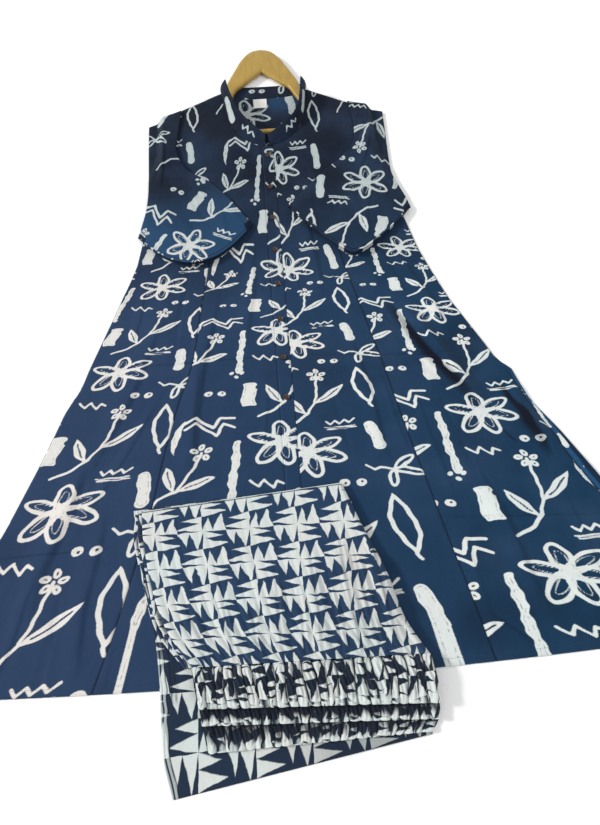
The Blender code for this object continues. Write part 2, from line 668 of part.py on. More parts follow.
def make_hanger():
    steps = 2 * (len(ARM_ROWS) - 1)
    half = [table_at(ARM_ROWS, step / 2) for step in range(steps + 1)]
    sections = [arm_section(arm, -1) for arm in reversed(half[1:])]
    sections += [arm_section(arm, 1) for arm in half]
    count = len(sections[0])
    faces = []
    for step in range(len(sections) - 1):
        for index in range(count):
            a, b = step * count + index, step * count + (index + 1) % count
            faces += [(a, b, b + count), (a, b + count, a + count)]
    last = (len(sections) - 1) * count
    faces += [tuple(range(count))[::-1], tuple(last + index for index in range(count))]
    mesh = bpy.data.meshes.new("hanger")
    mesh.from_pydata([tuple(p) for section in sections for p in section], [], faces)
    shape = bmesh.new()
    shape.from_mesh(mesh)
    bmesh.ops.recalc_face_normals(shape, faces=shape.faces)
    shape.to_mesh(mesh)
    shape.free()
    add_object("hanger", mesh, WOOD)
    bpy.ops.mesh.primitive_cylinder_add(
        vertices=12, radius=BAR_RADIUS, depth=2 * (BAR_HALF - SEAM_GAP))
    bar = bpy.context.object
    mesh = bar.data
    place = Vector((0.0, BAR_Y, BAR_Z + BAR_RADIUS))
    mesh.transform(Matrix.Translation(place) @ Matrix.Rotation(math.pi / 2, 4, "Y"))
    bpy.data.objects.remove(bar)
    mesh.name = "hanger_bar"
    add_object("hanger_bar", mesh, WOOD)


# The folded palazzo
def across(layer, part):
    return Vector((layer.left_x + (layer.right_x - layer.left_x) * part,
                   layer.left_y + (layer.right_y - layer.left_y) * part, 0.0))


def make_palazzo_leg():
    """The lowest layer lies on the skirt, steps down at its hem, ends on the floor."""
    tops, bottoms = [], []
    for layer in PALAZZO_LEG:
        top_row, bottom_row = [], []
        for column in range(LEG_COLUMNS + 1):
            point = across(layer, column / LEG_COLUMNS)
            rest = PALAZZO_REST * clamp((point.y - HEM_STEP_TO) / (HEM_STEP_FROM - HEM_STEP_TO))
            bottom_row.append(point + Vector((0, 0, rest)))
            top_row.append(point + Vector((0, 0, rest + CLOTH)))
        tops.append(top_row[::-1])
        bottoms.append(bottom_row[::-1])
    flat_solid("palazzo_leg_lower", tops, bottoms, MINT)


def gather(column):
    """Crest and trough by turns along a gathered edge, of uneven height."""
    uneven = math.sin(column * GATHER_BEATS[0]) * math.sin(column * GATHER_BEATS[1] + 1.0)
    return 1 - GATHER_UNEVEN * (1 - uneven) if column % 2 else 0.0


def make_palazzo_top():
    columns = 2 * GATHERS
    tops, bottoms = [], []
    for layer in PALAZZO_TOP:
        top_row, bottom_row = [], []
        for column in range(columns + 1):
            point = across(layer, column / columns)
            crest = layer.top + layer.pleat * gather(column)
            if columns - column < len(TURN_DOWN) and layer is not PALAZZO_TOP[-1]:
                crest -= TURN_DOWN[columns - column]
            crest = max(crest, PALAZZO_TOP[0].top)
            top_row.append(point + Vector((0, 0, crest)))
            bottom_row.append(point + Vector((0, 0, crest - CLOTH)))
        tops.append(top_row[::-1])
        bottoms.append(bottom_row[::-1])
    flat_solid("palazzo_leg_upper", tops, bottoms, MINT)


def make_palazzo_fill():
    """The hidden layers as one solid, with stepped edges at its open side."""
    tops, bottoms = [], []
    floor = PALAZZO_REST + CLOTH + SEAM_GAP
    for station, shift in STACK_STATIONS.items():
        layer = PALAZZO_TOP[station]
        width = (across(layer, 1) - across(layer, 0)).length
        ceiling = layer.top - CLOTH - STACK_CLEAR
        reach = [(STACK_INSET, 0.0), (width / 2, 0.0), (width - 2 * STACK_INSET, 0.0)]
        top_row, bottom_row = [], []
        for out, drop in STACK_STEPS + reach:
            point = across(layer, out / width)
            point.y += shift
            top_row.append(point + Vector((0, 0, ceiling - drop)))
            bottom_row.append(point + Vector((0, 0, floor)))
        tops.append(top_row[::-1])
        bottoms.append(bottom_row[::-1])
    flat_solid("palazzo_layers", tops, bottoms, MINT)


def make_casing(name, edge):
    columns = 2 * GATHERS
    tops, bottoms = [], []
    for row in CASING_ROWS:
        height = getattr(row, edge)
        if height is None:
            continue
        top_row, bottom_row = [], []
        for column in range(columns + 1):
            point = across(row, column / columns)
            crest = height + row.puff * gather(column)
            top_row.append(point + Vector((0, 0, crest)))
            bottom_row.append(point + Vector((0, 0, crest - CLOTH)))
        tops.append(top_row[::-1])
        bottoms.append(bottom_row[::-1])
    flat_solid(name, tops, bottoms, MINT)


def centre_on_floor():
    """Move the set so that its footprint's centre is at the origin."""
    bpy.context.view_layer.update()
    graph = bpy.context.evaluated_depsgraph_get()
    corners = []
    for thing in PARTS.objects:
        mesh = thing.evaluated_get(graph).to_mesh()
        corners += [vertex.co.copy() for vertex in mesh.vertices]
    middle_x = (min(c.x for c in corners) + max(c.x for c in corners)) / 2
    middle_y = (min(c.y for c in corners) + max(c.y for c in corners)) / 2
    for thing in PARTS.objects:
        thing.data.transform(Matrix.Translation((-middle_x, -middle_y, 0.0)))


for leftover in list(bpy.data.objects):
    bpy.data.objects.remove(leftover)
PARTS = bpy.data.collections.new("kurti_and_palazzo")
bpy.context.scene.collection.children.link(PARTS)

make_back()
make_centre("front_centre_left", -1)
make_centre("front_centre_right", 1)
make_side("front_side_left", -1)
make_side("front_side_right", 1)
make_placket()
make_buttons()
make_collar_half("collar_left", -1)
make_collar_half("collar_right", 1)
make_sleeve("sleeve_left", SLEEVE_LEFT, CUFF_LEFT)
make_sleeve("sleeve_right", SLEEVE_RIGHT, CUFF_RIGHT)
make_label()
make_hanger()
make_palazzo_leg()
make_palazzo_fill()
make_palazzo_top()
make_casing("waistband_front", "front")
make_casing("waistband_middle", "middle")
make_casing("waistband_back", "back")
centre_on_floor()
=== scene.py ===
# A navy printed cotton kurti laid flat on its wooden hanger, with its palazzo
# trousers folded on the skirt. Metres, +Z up, seen as its photograph shows it.
import math
from collections import namedtuple

import bmesh
import bpy
import numpy as np
from mathutils import Matrix, Vector


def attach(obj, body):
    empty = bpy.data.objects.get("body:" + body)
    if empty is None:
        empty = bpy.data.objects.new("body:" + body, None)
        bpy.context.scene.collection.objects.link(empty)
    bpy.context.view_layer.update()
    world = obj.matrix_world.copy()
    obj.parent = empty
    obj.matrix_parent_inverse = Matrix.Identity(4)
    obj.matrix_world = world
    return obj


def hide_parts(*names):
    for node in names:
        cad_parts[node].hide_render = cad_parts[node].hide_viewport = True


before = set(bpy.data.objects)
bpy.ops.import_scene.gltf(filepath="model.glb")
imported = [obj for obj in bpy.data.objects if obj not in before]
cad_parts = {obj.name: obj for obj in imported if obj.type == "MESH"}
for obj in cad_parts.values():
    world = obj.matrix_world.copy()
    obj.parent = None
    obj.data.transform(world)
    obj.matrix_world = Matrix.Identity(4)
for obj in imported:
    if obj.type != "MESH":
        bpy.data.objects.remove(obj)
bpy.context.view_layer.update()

# The surface it lies on, plain and pale. Light falls low from the viewer's left, so
# that creases show, and a weaker light fills the other side. The camera stands at
# the hem and looks steeply down towards the neck.
FLOOR_SIZE = 9.0
FLOOR_DROP = 0.0004
CAMERA_PLACE = (-0.0470, -0.5821, 0.9439)
CAMERA_TILT = math.radians(23.70)
CAMERA_TURN = math.radians(-4.496)
CAMERA_LENS = 27.05
FLOOR_PALE = (0.95, 0.95, 0.95, 1)
ROOM_PALE = (0.99, 0.995, 1.0, 1)
ROOM_LIGHT = 0.66


def add_object(name, data):
    made = bpy.data.objects.new(name, data)
    bpy.context.scene.collection.objects.link(made)
    return made


bpy.ops.object.select_all(action="DESELECT")
bpy.ops.mesh.primitive_plane_add(size=FLOOR_SIZE, location=(0, 0, -FLOOR_DROP))
floor = bpy.context.object
floor.name = "floor"
floor_paper = bpy.data.materials.new("floor_paper")
floor_paper.use_nodes = True
floor_shader = floor_paper.node_tree.nodes["Principled BSDF"]
floor_shader.inputs["Base Color"].default_value = FLOOR_PALE
floor_shader.inputs["Roughness"].default_value = 0.9
floor.data.materials.append(floor_paper)

room = bpy.data.worlds.new("room")
room.use_nodes = True
room.node_tree.nodes["Background"].inputs["Color"].default_value = ROOM_PALE
room.node_tree.nodes["Background"].inputs["Strength"].default_value = ROOM_LIGHT
bpy.context.scene.world = room
bpy.context.scene.view_settings.view_transform = "Standard"

SoftLight = namedtuple("SoftLight", "name place angle strength")
for soft in (SoftLight("window", (-1.5, 0.35, 0.80), 9.0, 2.6),
             SoftLight("fill", (0.9, -0.9, 1.5), 40.0, 0.55)):
    lamp = bpy.data.lights.new(soft.name, "SUN")
    lamp.angle = math.radians(soft.angle)
    lamp.energy = soft.strength
    light = add_object(soft.name, lamp)
    light.location = soft.place
    light.rotation_euler = (-Vector(soft.place)).to_track_quat("-Z", "Y").to_euler()

view = bpy.data.cameras.new("view")
view.lens = CAMERA_LENS
camera = add_object("view", view)
camera.location = CAMERA_PLACE
camera.rotation_euler = (CAMERA_TILT, 0.0, CAMERA_TURN)
bpy.context.scene.camera = camera


# The kurti's back. The whole set lies on it: one flat piece of printed cotton,
# cut with a shallow neck, sewn to the front at its sides and shoulders. Only its
# inside shows, in the neck. It also gives the sizes that the front is cut to.
Front = namedtuple("Front", "inner_l inner_r inner_y outer_l outer_r outer_y")
FRONT_ROWS = [
    Front(0.000, 0.000, 0.006, -0.300, 0.267, 0.006),
    Front(0.000, 0.000, 0.090, -0.272, 0.251, 0.090),
    Front(0.000, 0.000, 0.190, -0.242, 0.230, 0.190),
    Front(0.000, 0.000, 0.270, -0.221, 0.214, 0.270),
    Front(0.000, 0.000, 0.350, -0.204, 0.197, 0.350),
    Front(0.000, 0.000, 0.440, -0.181, 0.180, 0.440),
    Front(0.000, 0.000, 0.520, -0.156, 0.165, 0.520),
    Front(0.000, 0.000, 0.620, -0.141, 0.144, 0.620),
    Front(0.000, 0.000, 0.730, -0.124, 0.122, 0.730),
    Front(0.000, 0.000, 0.810, -0.122, 0.121, 0.810),
    Front(0.000, 0.000, 0.865, -0.136, 0.134, 0.880),
    Front(0.000, 0.000, 0.915, -0.160, 0.158, 0.932),
    Front(0.000, 0.000, 0.955, -0.184, 0.183, 0.975),
    Front(0.000, 0.000, 0.980, -0.195, 0.194, 1.005),
    Front(-0.003, 0.003, 0.998, -0.197, 0.196, 1.025),
    Front(-0.028, 0.030, 1.008, -0.197, 0.197, 1.042),
    Front(-0.052, 0.055, 1.026, -0.196, 0.197, 1.058),
    Front(-0.070, 0.073, 1.054, -0.196, 0.197, 1.072),
    Front(-0.079, 0.082, 1.087, -0.195, 0.197, 1.084),
    Front(-0.084, 0.087, 1.120, -0.195, 0.197, 1.094),
    Front(-0.087, 0.089, 1.145, -0.194, 0.197, 1.102),
    Front(-0.089, 0.091, 1.163, -0.194, 0.197, 1.109),
]
NECK_ROW = 14
SHOULDER_ROW = 21
Side = namedtuple("Side", "row left left_y right right_y")
SIDE_ROWS = [
    Side(0, -0.552, 0.006, 0.622, 0.006),
    Side(1, -0.517, 0.090, 0.584, 0.090),
    Side(2, -0.475, 0.190, 0.531, 0.190),
    Side(3, -0.437, 0.270, 0.486, 0.270),
    Side(4, -0.403, 0.350, 0.443, 0.350),
    Side(4.6, -0.382, 0.404, 0.409, 0.404),
    Side(5, -0.369, 0.440, 0.396, 0.440),
    Side(5.35, -0.354, 0.468, 0.388, 0.468),
    Side(5.6, -0.343, 0.488, 0.366, 0.488),
    Side(6, -0.333, 0.520, 0.352, 0.520),
    Side(7, -0.296, 0.620, 0.305, 0.620),
    Side(8, -0.257, 0.730, 0.268, 0.730),
    Side(9, -0.243, 0.810, 0.252, 0.810),
    Side(10, -0.233, 0.862, 0.238, 0.862),
    Side(11, -0.222, 0.905, 0.224, 0.905),
    Side(12, -0.202, 0.958, 0.202, 0.958),
]
ARM_ROW = 12
NECK_TO_CROWN = (-0.124, 1.290)
MIDDLE_X = (SIDE_ROWS[0].left + SIDE_ROWS[0].right) / 2
MIDDLE_Y = sum(NECK_TO_CROWN) / 2
MIDDLE = np.array((MIDDLE_X, MIDDLE_Y, 0.0))
HEM_RISE = 0.045
HEM_FADE = 0.25
CLOTH = 0.0012
BACK_NECK_DIP = 1.148
BACK_NECK_ROUND = 2.6
SHOULDER_SLOPE = 0.51
BACK_STRETCHES = [(0, ARM_ROW, 76), (ARM_ROW, SHOULDER_ROW - 1, 34)]
BACK_NECK_LINES = 18
BACK_COLUMNS = 170


def smooth_step(low, high, value):
    part = np.clip((value - low) / (high - low), 0, 1)
    return part * part * (3 - 2 * part)


def close_to(distance, wide):
    """One at a line, fading to nought on both sides of it."""
    return np.exp(-(distance / wide) ** 2)


def swell(angle):
    return 0.5 + 0.5 * np.sin(angle)


def points_at(x, y, z):
    return np.stack(np.broadcast_arrays(x, y, z), axis=-1)


def read_smooth(table, name, position):
    """Read one column of a table along a smooth curve through its rows."""
    values = np.array([getattr(row, name) for row in table])
    last = len(values) - 1
    index = np.minimum(position.astype(int), last - 1)
    part = position - index
    before, start = values[np.maximum(index - 1, 0)], values[index]
    end, after = values[index + 1], values[np.minimum(index + 2, last)]
    slope_start, slope_end = (end - before) / 2, (after - start) / 2
    square, cube = part ** 2, part ** 3
    return (start * (2 * cube - 3 * square + 1) + slope_start * (cube - 2 * square + part)
            + end * (3 * square - 2 * cube) + slope_end * (cube - square))


def read_side(name, position):
    keys = [edge.row for edge in SIDE_ROWS]
    return np.interp(position, keys, [getattr(edge, name) for edge in SIDE_ROWS])


def shoulder_y(x):
    neck = FRONT_ROWS[SHOULDER_ROW]
    return neck.inner_y - (np.abs(x) - abs(neck.inner_l)) * SHOULDER_SLOPE


def back_neck_y(x):
    neck = FRONT_ROWS[SHOULDER_ROW]
    spread = np.minimum(np.abs(x / neck.inner_r), 1.0)
    scoop = BACK_NECK_DIP + (neck.inner_y - BACK_NECK_DIP) * spread ** BACK_NECK_ROUND
    return np.where(np.abs(x) < neck.inner_r, scoop, shoulder_y(x))


def hem_curve(x, y):
    """The hem curves up towards the sides."""
    return y + HEM_RISE * x * x * (1 - smooth_step(0.0, HEM_FADE, y))


def weld(mesh):
    shape = bmesh.new()
    shape.from_mesh(mesh)
    bmesh.ops.remove_doubles(shape, verts=shape.verts, dist=0.000002)
    shape.to_mesh(mesh)
    shape.free()


def lay_sheet(name, points, cut, fields, finish, flip=False):
    """A sheet of cloth from rows of points in the kurti's frame, with its place on
    the cut cloth as a UV map and its print and tone as attributes."""
    rows, columns = points.shape[:2]
    index = np.arange(rows * columns).reshape(rows, columns)
    corners = [index[:-1, :-1], index[:-1, 1:], index[1:, 1:], index[1:, :-1]]
    faces = np.stack([corner.ravel() for corner in corners], axis=1)
    if flip:
        faces = faces[:, ::-1]
    mesh = bpy.data.meshes.new(name)
    mesh.from_pydata((points.reshape(-1, 3) - MIDDLE).tolist(), [], faces.tolist())
    mesh.shade_smooth()
    cloth_map = mesh.uv_layers.new(name="cut")
    cloth_map.data.foreach_set("uv", cut.reshape(-1, 2)[faces.ravel()].ravel())
    for field, values in fields.items():
        layer = mesh.attributes.new(field, "FLOAT", "POINT")
        layer.data.foreach_set("value", np.ascontiguousarray(values, dtype=np.float32).ravel())
    mesh.materials.append(finish)
    return add_object(name, mesh)


def apply_modifier(piece, kind, settings):
    bpy.context.view_layer.objects.active = piece
    modifier = piece.modifiers.new("shape", kind)
    for name, setting in settings.items():
        setattr(modifier, name, setting)
    bpy.ops.object.modifier_apply(modifier="shape")


def thicken(sheet, thickness):
    apply_modifier(sheet, "SOLIDIFY", {"thickness": thickness, "offset": -1.0})


def place_piece(piece, node):
    """A piece of the one body, in the place of its solid."""
    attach(piece, "root")
    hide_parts(node)


def even_grid(rows, columns):
    """How far up and how far across each point of an even grid lies, out of one."""
    return np.meshgrid(np.linspace(0, 1, rows), np.linspace(0, 1, columns), indexing="ij")


# The printed cotton, shared by all the kurti's pieces. Off-white hand-drawn flowers,
# sprigs, leaves and marks stand on navy in one repeat, which each panel cuts through
# at its own place. A motif is drawn in its own metres, to the right and down.
TILE_WIDE = 0.32
TILE_HIGH = 0.265
PRINT_GROWTH = 0.95
GROWTH_EVEN = 0.583
GROWTH_TOP = 0.80
Repeat = namedtuple("Repeat", "y row u")
PANEL_REPEATS = {
    "side_left": [Repeat(0.850, -1, -0.229), Repeat(0.679, 0, -0.229), Repeat(0.512, 1, -0.262),
                  Repeat(0.277, 2, -0.271), Repeat(-0.057, 3, -0.271)],
    "centre_left": [Repeat(1.190, -1, 0.050), Repeat(0.975, 0, 0.038), Repeat(0.704, 1, 0.012),
                    Repeat(0.574, 2, -0.007), Repeat(0.366, 3, -0.010), Repeat(0.090, 4, -0.010)],
    "centre_right": [Repeat(1.190, -1, 0.037), Repeat(0.945, 0, 0.026), Repeat(0.699, 1, 0.027),
                     Repeat(0.546, 2, 0.022), Repeat(0.343, 3, 0.023), Repeat(0.060, 4, 0.028)],
    "side_right": [Repeat(0.900, -2, 0.270), Repeat(0.735, -1, 0.270), Repeat(0.596, 0, 0.275),
                   Repeat(0.392, 1, 0.266), Repeat(0.123, 2, 0.259), Repeat(-0.200, 3, 0.259)],
}


def on_print(x, y, name):
    """Where a point of a panel lies on the print: metres across, rows down."""
    grown = np.exp(PRINT_GROWTH * (GROWTH_EVEN - np.minimum(y, GROWTH_TOP)))
    repeats = PANEL_REPEATS[name]
    places = [-repeat.y for repeat in repeats]
    drift = np.interp(-y, places, [repeat.u for repeat in repeats])
    return x / grown - drift, np.interp(-y, places, [repeat.row for repeat in repeats])


def draw_line(u, w, points, half):
    nearest = np.full(u.shape, TILE_WIDE)
    for (u0, w0), (u1, w1) in zip(points, points[1:]):
        run_u, run_w = u1 - u0, w1 - w0
        part = np.clip(((u - u0) * run_u + (w - w0) * run_w) / (run_u ** 2 + run_w ** 2), 0, 1)
        nearest = np.minimum(nearest, np.hypot(u - u0 - part * run_u, w - w0 - part * run_w))
    return nearest - half


def along_axis(u, w, foot, tip):
    """Distances along and across an axis, from its middle, and half its length."""
    run_u, run_w = tip[0] - foot[0], tip[1] - foot[1]
    length = math.hypot(run_u, run_w)
    from_u, from_w = u - (foot[0] + tip[0]) / 2, w - (foot[1] + tip[1]) / 2
    along = (from_u * run_u + from_w * run_w) / length
    beside = (from_u * run_w - from_w * run_u) / length
    return along, beside, length / 2


def draw_oval(u, w, foot, tip, width):
    along, beside, half = along_axis(u, w, foot, tip)
    scaled = np.hypot(along / half, beside / (width / 2)) + 1e-6
    steep = np.hypot(along / half ** 2, beside / (width / 2) ** 2) + 1e-6
    return scaled * (scaled - 1) / steep


def draw_leaf(u, w, foot, tip, width, rib=0.0):
    """A pointed leaf, with a dark rib left bare where one is asked for."""
    along, beside, half = along_axis(u, w, foot, tip)
    inside = np.abs(beside) - width / 2 * (1 - np.minimum(np.abs(along) / half, 1) ** 2)
    beyond = np.hypot(np.maximum(np.abs(along) - half, 0), beside)
    leaf = np.where(np.abs(along) < half, inside, beyond)
    if rib:
        leaf = np.maximum(leaf, rib - np.abs(beside) - np.maximum(np.abs(along) - half * 0.62, 0))
    return leaf


def outline(distance, half):
    return np.abs(distance + half) - half


def together(*shapes):
    return np.minimum.reduce(shapes)


Petal = namedtuple("Petal", "angle length width")
PETALS = [Petal(95, 0.045, 0.025), Petal(32, 0.051, 0.024), Petal(-16, 0.050, 0.023),
          Petal(-80, 0.043, 0.025), Petal(-134, 0.049, 0.024), Petal(162, 0.049, 0.023)]


def draw_petal(u, w, foot, petal, half):
    way = math.radians(petal.angle)
    tip = (foot[0] + petal.length * math.cos(way), foot[1] - petal.length * math.sin(way))
    return outline(draw_oval(u, w, foot, tip, petal.width), half)


def draw_flower(u, w):
    """Six looped petals, each with a finer loop inside, round a ragged full centre."""
    way, reach = np.arctan2(-w, u), np.hypot(u, w)
    centre = reach - 0.0125 - 0.0026 * np.cos(6 * way - 0.5) - 0.0012 * np.sin(17 * way)
    inner = [Petal(petal.angle, petal.length * 0.72, petal.width * 0.44) for petal in PETALS]
    loops = [draw_petal(u, w, (0.0, 0.0), petal, 0.0025) for petal in PETALS]
    return together(centre, *loops, *[draw_petal(u, w, (0.0, 0.0), petal, 0.0006) for petal in inner])


def draw_squiggle(u, w):
    return draw_line(u, w, [(-0.021, -0.004), (-0.011, 0.006), (-0.004, -0.004), (0.006, 0.008),
                            (0.012, -0.002), (0.019, 0.004)], 0.0017)


def draw_rings(u, w):
    """Two round spots side by side, each with a small bare eye."""
    spots = [np.hypot((u - side * 0.010) * 0.9, w - 0.001 * side) - 0.0058 for side in (-1, 1)]
    eyes = [0.0019 - np.hypot(u - side * 0.010 - 0.0010, w) for side in (-1, 1)]
    return together(*[np.maximum(spot, eye) for spot, eye in zip(spots, eyes)])


def draw_bud(u, w, middle):
    petals = []
    for angle in range(90, 450, 72):
        way = math.radians(angle)
        foot = (middle[0] + 0.004 * math.cos(way), middle[1] - 0.004 * math.sin(way))
        petals.append(draw_petal(u, w, foot, Petal(angle, 0.0115, 0.0085), 0.0017))
    return together(*petals)


def draw_sprig(u, w):
    stem = [(0.022, -0.060), (0.020, -0.026), (0.014, 0.008), (0.003, 0.030), (-0.012, 0.046),
            (-0.034, 0.060)]
    return together(draw_bud(u, w, stem[0]), draw_line(u, w, stem, 0.0019),
                    draw_line(u, w, stem[3:], 0.0024),
                    draw_leaf(u, w, (0.000, 0.034), (-0.026, -0.014), 0.014, 0.0011),
                    draw_leaf(u, w, (0.014, 0.010), (0.062, -0.034), 0.014, 0.0011))


def draw_small_sprig(u, w):
    stem = [(0.026, -0.052), (0.016, -0.024), (0.002, 0.006), (-0.020, 0.018), (-0.036, 0.052)]
    return together(draw_bud(u, w, stem[0]), draw_line(u, w, stem, 0.0019),
                    draw_leaf(u, w, (-0.002, 0.008), (-0.018, -0.032), 0.014, 0.0010),
                    draw_leaf(u, w, (0.003, 0.006), (0.048, -0.012), 0.013, 0.0010))


def draw_mark(u, w):
    """A short wave over a double line."""
    wave = [(-0.020, -0.002), (-0.013, 0.005), (-0.008, -0.003), (-0.001, 0.005), (0.005, -0.004),
            (0.012, 0.004), (0.019, -0.004)]
    return together(draw_line(u, w, wave, 0.0016),
                    draw_line(u, w, [(-0.021, 0.0125), (0.020, 0.0115)], 0.0013),
                    draw_line(u, w, [(-0.019, 0.0165), (0.021, 0.0155)], 0.0012))


def draw_stick(u, w):
    knobs = 0.0008 * np.sin(w * 190) + 0.0006 * np.sin(w * 430 + 1)
    return draw_line(u, w, [(0.002, -0.050), (-0.001, 0.0), (-0.003, 0.050)], 0.0050) - knobs


def draw_dots(u, w):
    places = ((-0.008, -0.004), (0.0, 0.005), (0.008, -0.004))
    return together(*[np.hypot(u - dot_u, w - dot_w) - 0.0036 for dot_u, dot_w in places])


def draw_block(u, w):
    corner = 0.003
    away_u = np.abs(u + 0.0010 * np.sin(w * 130)) - 0.0105 + corner
    away_w = np.abs(w) - 0.027 + corner
    outside = np.hypot(np.maximum(away_u, 0), np.maximum(away_w, 0))
    block = outside + np.minimum(np.maximum(away_u, away_w), 0) - corner
    return np.maximum(block, 0.0045 - np.hypot(u - 0.012, w + 0.016))


def draw_zigzag(u, w):
    """A double wave, its strokes side by side."""
    wave = [(-0.036, -0.004), (-0.021, -0.018), (0.006, 0.008), (0.014, -0.015), (0.034, -0.013)]
    beside = [(-0.033, 0.008), (-0.019, -0.006), (0.010, 0.026), (0.019, -0.002), (0.035, 0.008)]
    return together(draw_line(u, w, wave, 0.0024), draw_line(u, w, beside, 0.0022))


def draw_arc(u, w):
    return draw_leaf(u - 5 * w * w, w, (-0.004, 0.036), (0.004, -0.036), 0.010)


def draw_blossom(u, w):
    stem = [(-0.032, -0.005), (-0.024, 0.001), (-0.016, -0.002), (0.0, 0.002)]
    petals = (Petal(32, 0.036, 0.012), Petal(-16, 0.041, 0.012), Petal(-100, 0.028, 0.013))
    return together(draw_line(u, w, stem, 0.0017),
                    *[draw_petal(u, w, stem[-1], petal, 0.0022) for petal in petals])


def draw_open_leaf(u, w):
    leaf = outline(draw_leaf(u, w, (0.004, 0.046), (-0.004, -0.046), 0.030), 0.0027)
    return together(leaf, draw_line(u, w, [(0.003, 0.044), (0.006, 0.052)], 0.0022))


def draw_bar(u, w):
    return draw_line(u, w, [(-0.003, -0.024), (0.003, 0.024)], 0.0080) + 0.0007 * np.sin(w * 160)


Motif = namedtuple("Motif", "draw u row")
MOTIFS = [
    Motif(draw_flower, 0.0, 0.0), Motif(draw_squiggle, -0.020, 0.25), Motif(draw_rings, 0.048, 0.20),
    Motif(draw_sprig, 0.003, 0.555), Motif(draw_mark, 0.048, 0.76), Motif(draw_stick, -0.061, 0.185),
    Motif(draw_dots, -0.066, 0.40), Motif(draw_block, -0.046, 0.585), Motif(draw_rings, -0.097, 0.56),
    Motif(draw_zigzag, -0.099, 0.83), Motif(draw_arc, -0.143, 0.92), Motif(draw_small_sprig, -0.131, 0.24),
    Motif(draw_blossom, 0.100, 0.13), Motif(draw_open_leaf, 0.092, 0.45), Motif(draw_bar, 0.090, 0.895),
]


def wrap(value, span):
    return (value + span / 2) % span - span / 2


def print_at(u, row):
    """Distance to the nearest printed edge, below nought in the off-white."""
    down = row * TILE_HIGH
    turn_u, turn_w = 2 * math.pi / TILE_WIDE, 2 * math.pi / TILE_HIGH
    hand_u = 0.0008 * np.sin(5 * turn_w * down + 1) + 0.0005 * np.sin(13 * turn_w * down)
    hand_w = 0.0008 * np.sin(6 * turn_u * u) + 0.0005 * np.sin(14 * turn_u * u + 2)
    return together(*[motif.draw(wrap(u - motif.u, TILE_WIDE) + hand_u,
                                 wrap(down - motif.row * TILE_HIGH, TILE_HIGH) + hand_w)
                      for motif in MOTIFS])


class Value:
    """A socket in a material's nodes. Sums written on it add the Math nodes."""

    def __init__(self, tree, socket):
        self.tree = tree
        self.socket = socket

    def node(self, kind, settings, inputs, output=0):
        """Add a node, set it, feed its sockets and give one of its outputs."""
        made = self.tree.nodes.new("ShaderNode" + kind)
        for name, setting in settings.items():
            setattr(made, name, setting)
        for name, value in inputs.items():
            if isinstance(value, Value):
                self.tree.links.new(value.socket, made.inputs[name])
            else:
                made.inputs[name].default_value = value
        return Value(self.tree, made.outputs[output])

    def sum(self, operation, first, second=0.0):
        return self.node("Math", {"operation": operation}, {0: first, 1: second})

    def mix(self, first, second):
        """Mix two colours, with this value as how much of the second."""
        feeds = {"Factor": self, 6: first, 7: second}
        return self.node("Mix", {"data_type": "RGBA"}, feeds, output=2)

    def noise(self, scale, detail=2.0):
        """Noise over this place, from nought to one."""
        feeds = {"Vector": self, "Scale": scale, "Detail": detail}
        return self.node("TexNoise", {}, feeds)

    def clamped(self):
        return self.node("Clamp", {}, {"Value": self})

    def x_and_y(self):
        return [self.node("SeparateXYZ", {}, {0: self}, output=axis) for axis in (0, 1)]

    def field(self, name):
        """A number that the piece's own points carry."""
        return self.node("Attribute", {"attribute_name": name}, {}, output="Fac")

    def __add__(self, other):
        return self.sum("ADD", self, other)

    __radd__ = __add__

    def __sub__(self, other):
        return self.sum("SUBTRACT", self, other)

    def __rsub__(self, other):
        return self.sum("SUBTRACT", other, self)

    def __mul__(self, other):
        return self.sum("MULTIPLY", self, other)

    __rmul__ = __mul__

    def __truediv__(self, other):
        return self.sum("DIVIDE", self, other)

    def __abs__(self):
        return self.sum("ABSOLUTE", self)


def start_material(name):
    """A new material's shader, and its place as the piece's own coordinates."""
    material = bpy.data.materials.new(name)
    material.use_nodes = True
    shader = material.node_tree.nodes["Principled BSDF"]
    nothing = Value(material.node_tree, None)
    place = nothing.node("TexCoord", {}, {}, output="Object")
    return material, shader, place


def end_material(place, shader, colour, roughness, relief, height):
    """Feed the shader its colour and roughness, and a bump of a height in metres."""
    tree = place.tree
    tree.links.new(colour.socket, shader.inputs["Base Color"])
    tree.links.new(roughness.socket, shader.inputs["Roughness"])
    feeds = {"Height": relief, "Distance": height, "Strength": 1.0}
    bump = place.node("Bump", {}, feeds)
    tree.links.new(bump.socket, shader.inputs["Normal"])


THREADS_PER_METRE = 1500
WEAVE_HEIGHT = 0.0001
SLUB_SCALE = (260.0, 900.0, 1.0)
INK_EDGE = 0.0009
UPPER_FROM = 0.33
NAVY_UPPER = (0.0030, 0.0075, 0.019, 1)
NAVY_LEFT = (0.0175, 0.0410, 0.096, 1)
NAVY_RIGHT = (0.0030, 0.0300, 0.072, 1)
NAVY_WORN = (0.0240, 0.0560, 0.120, 1)
# A near-black navy for painted shade, also mixed in at random as darker patches.
NAVY_SHADE_AND_MOTTLE = (0.0020, 0.0040, 0.012, 1)
TEAL = (0.0130, 0.0650, 0.150, 1)
PRINT_UPPER = (0.440, 0.500, 0.500, 1)
OFF_WHITE = (0.660, 0.710, 0.690, 1)
WARM_WHITE = (0.740, 0.700, 0.655, 1)


def woven(place):
    """Over and under of a plain weave, from the piece's place on the cut cloth."""
    threads = place.node("UVMap", {"uv_map": "cut"}, {})
    waves = [part.sum("SINE", part * (THREADS_PER_METRE * math.pi)) for part in threads.x_and_y()]
    return threads, waves[0] * waves[1]


def slubbed(threads):
    """Long thick places in the yarn."""
    return threads.node("Mapping", {}, {"Vector": threads, "Scale": SLUB_SCALE}).noise(1.0)


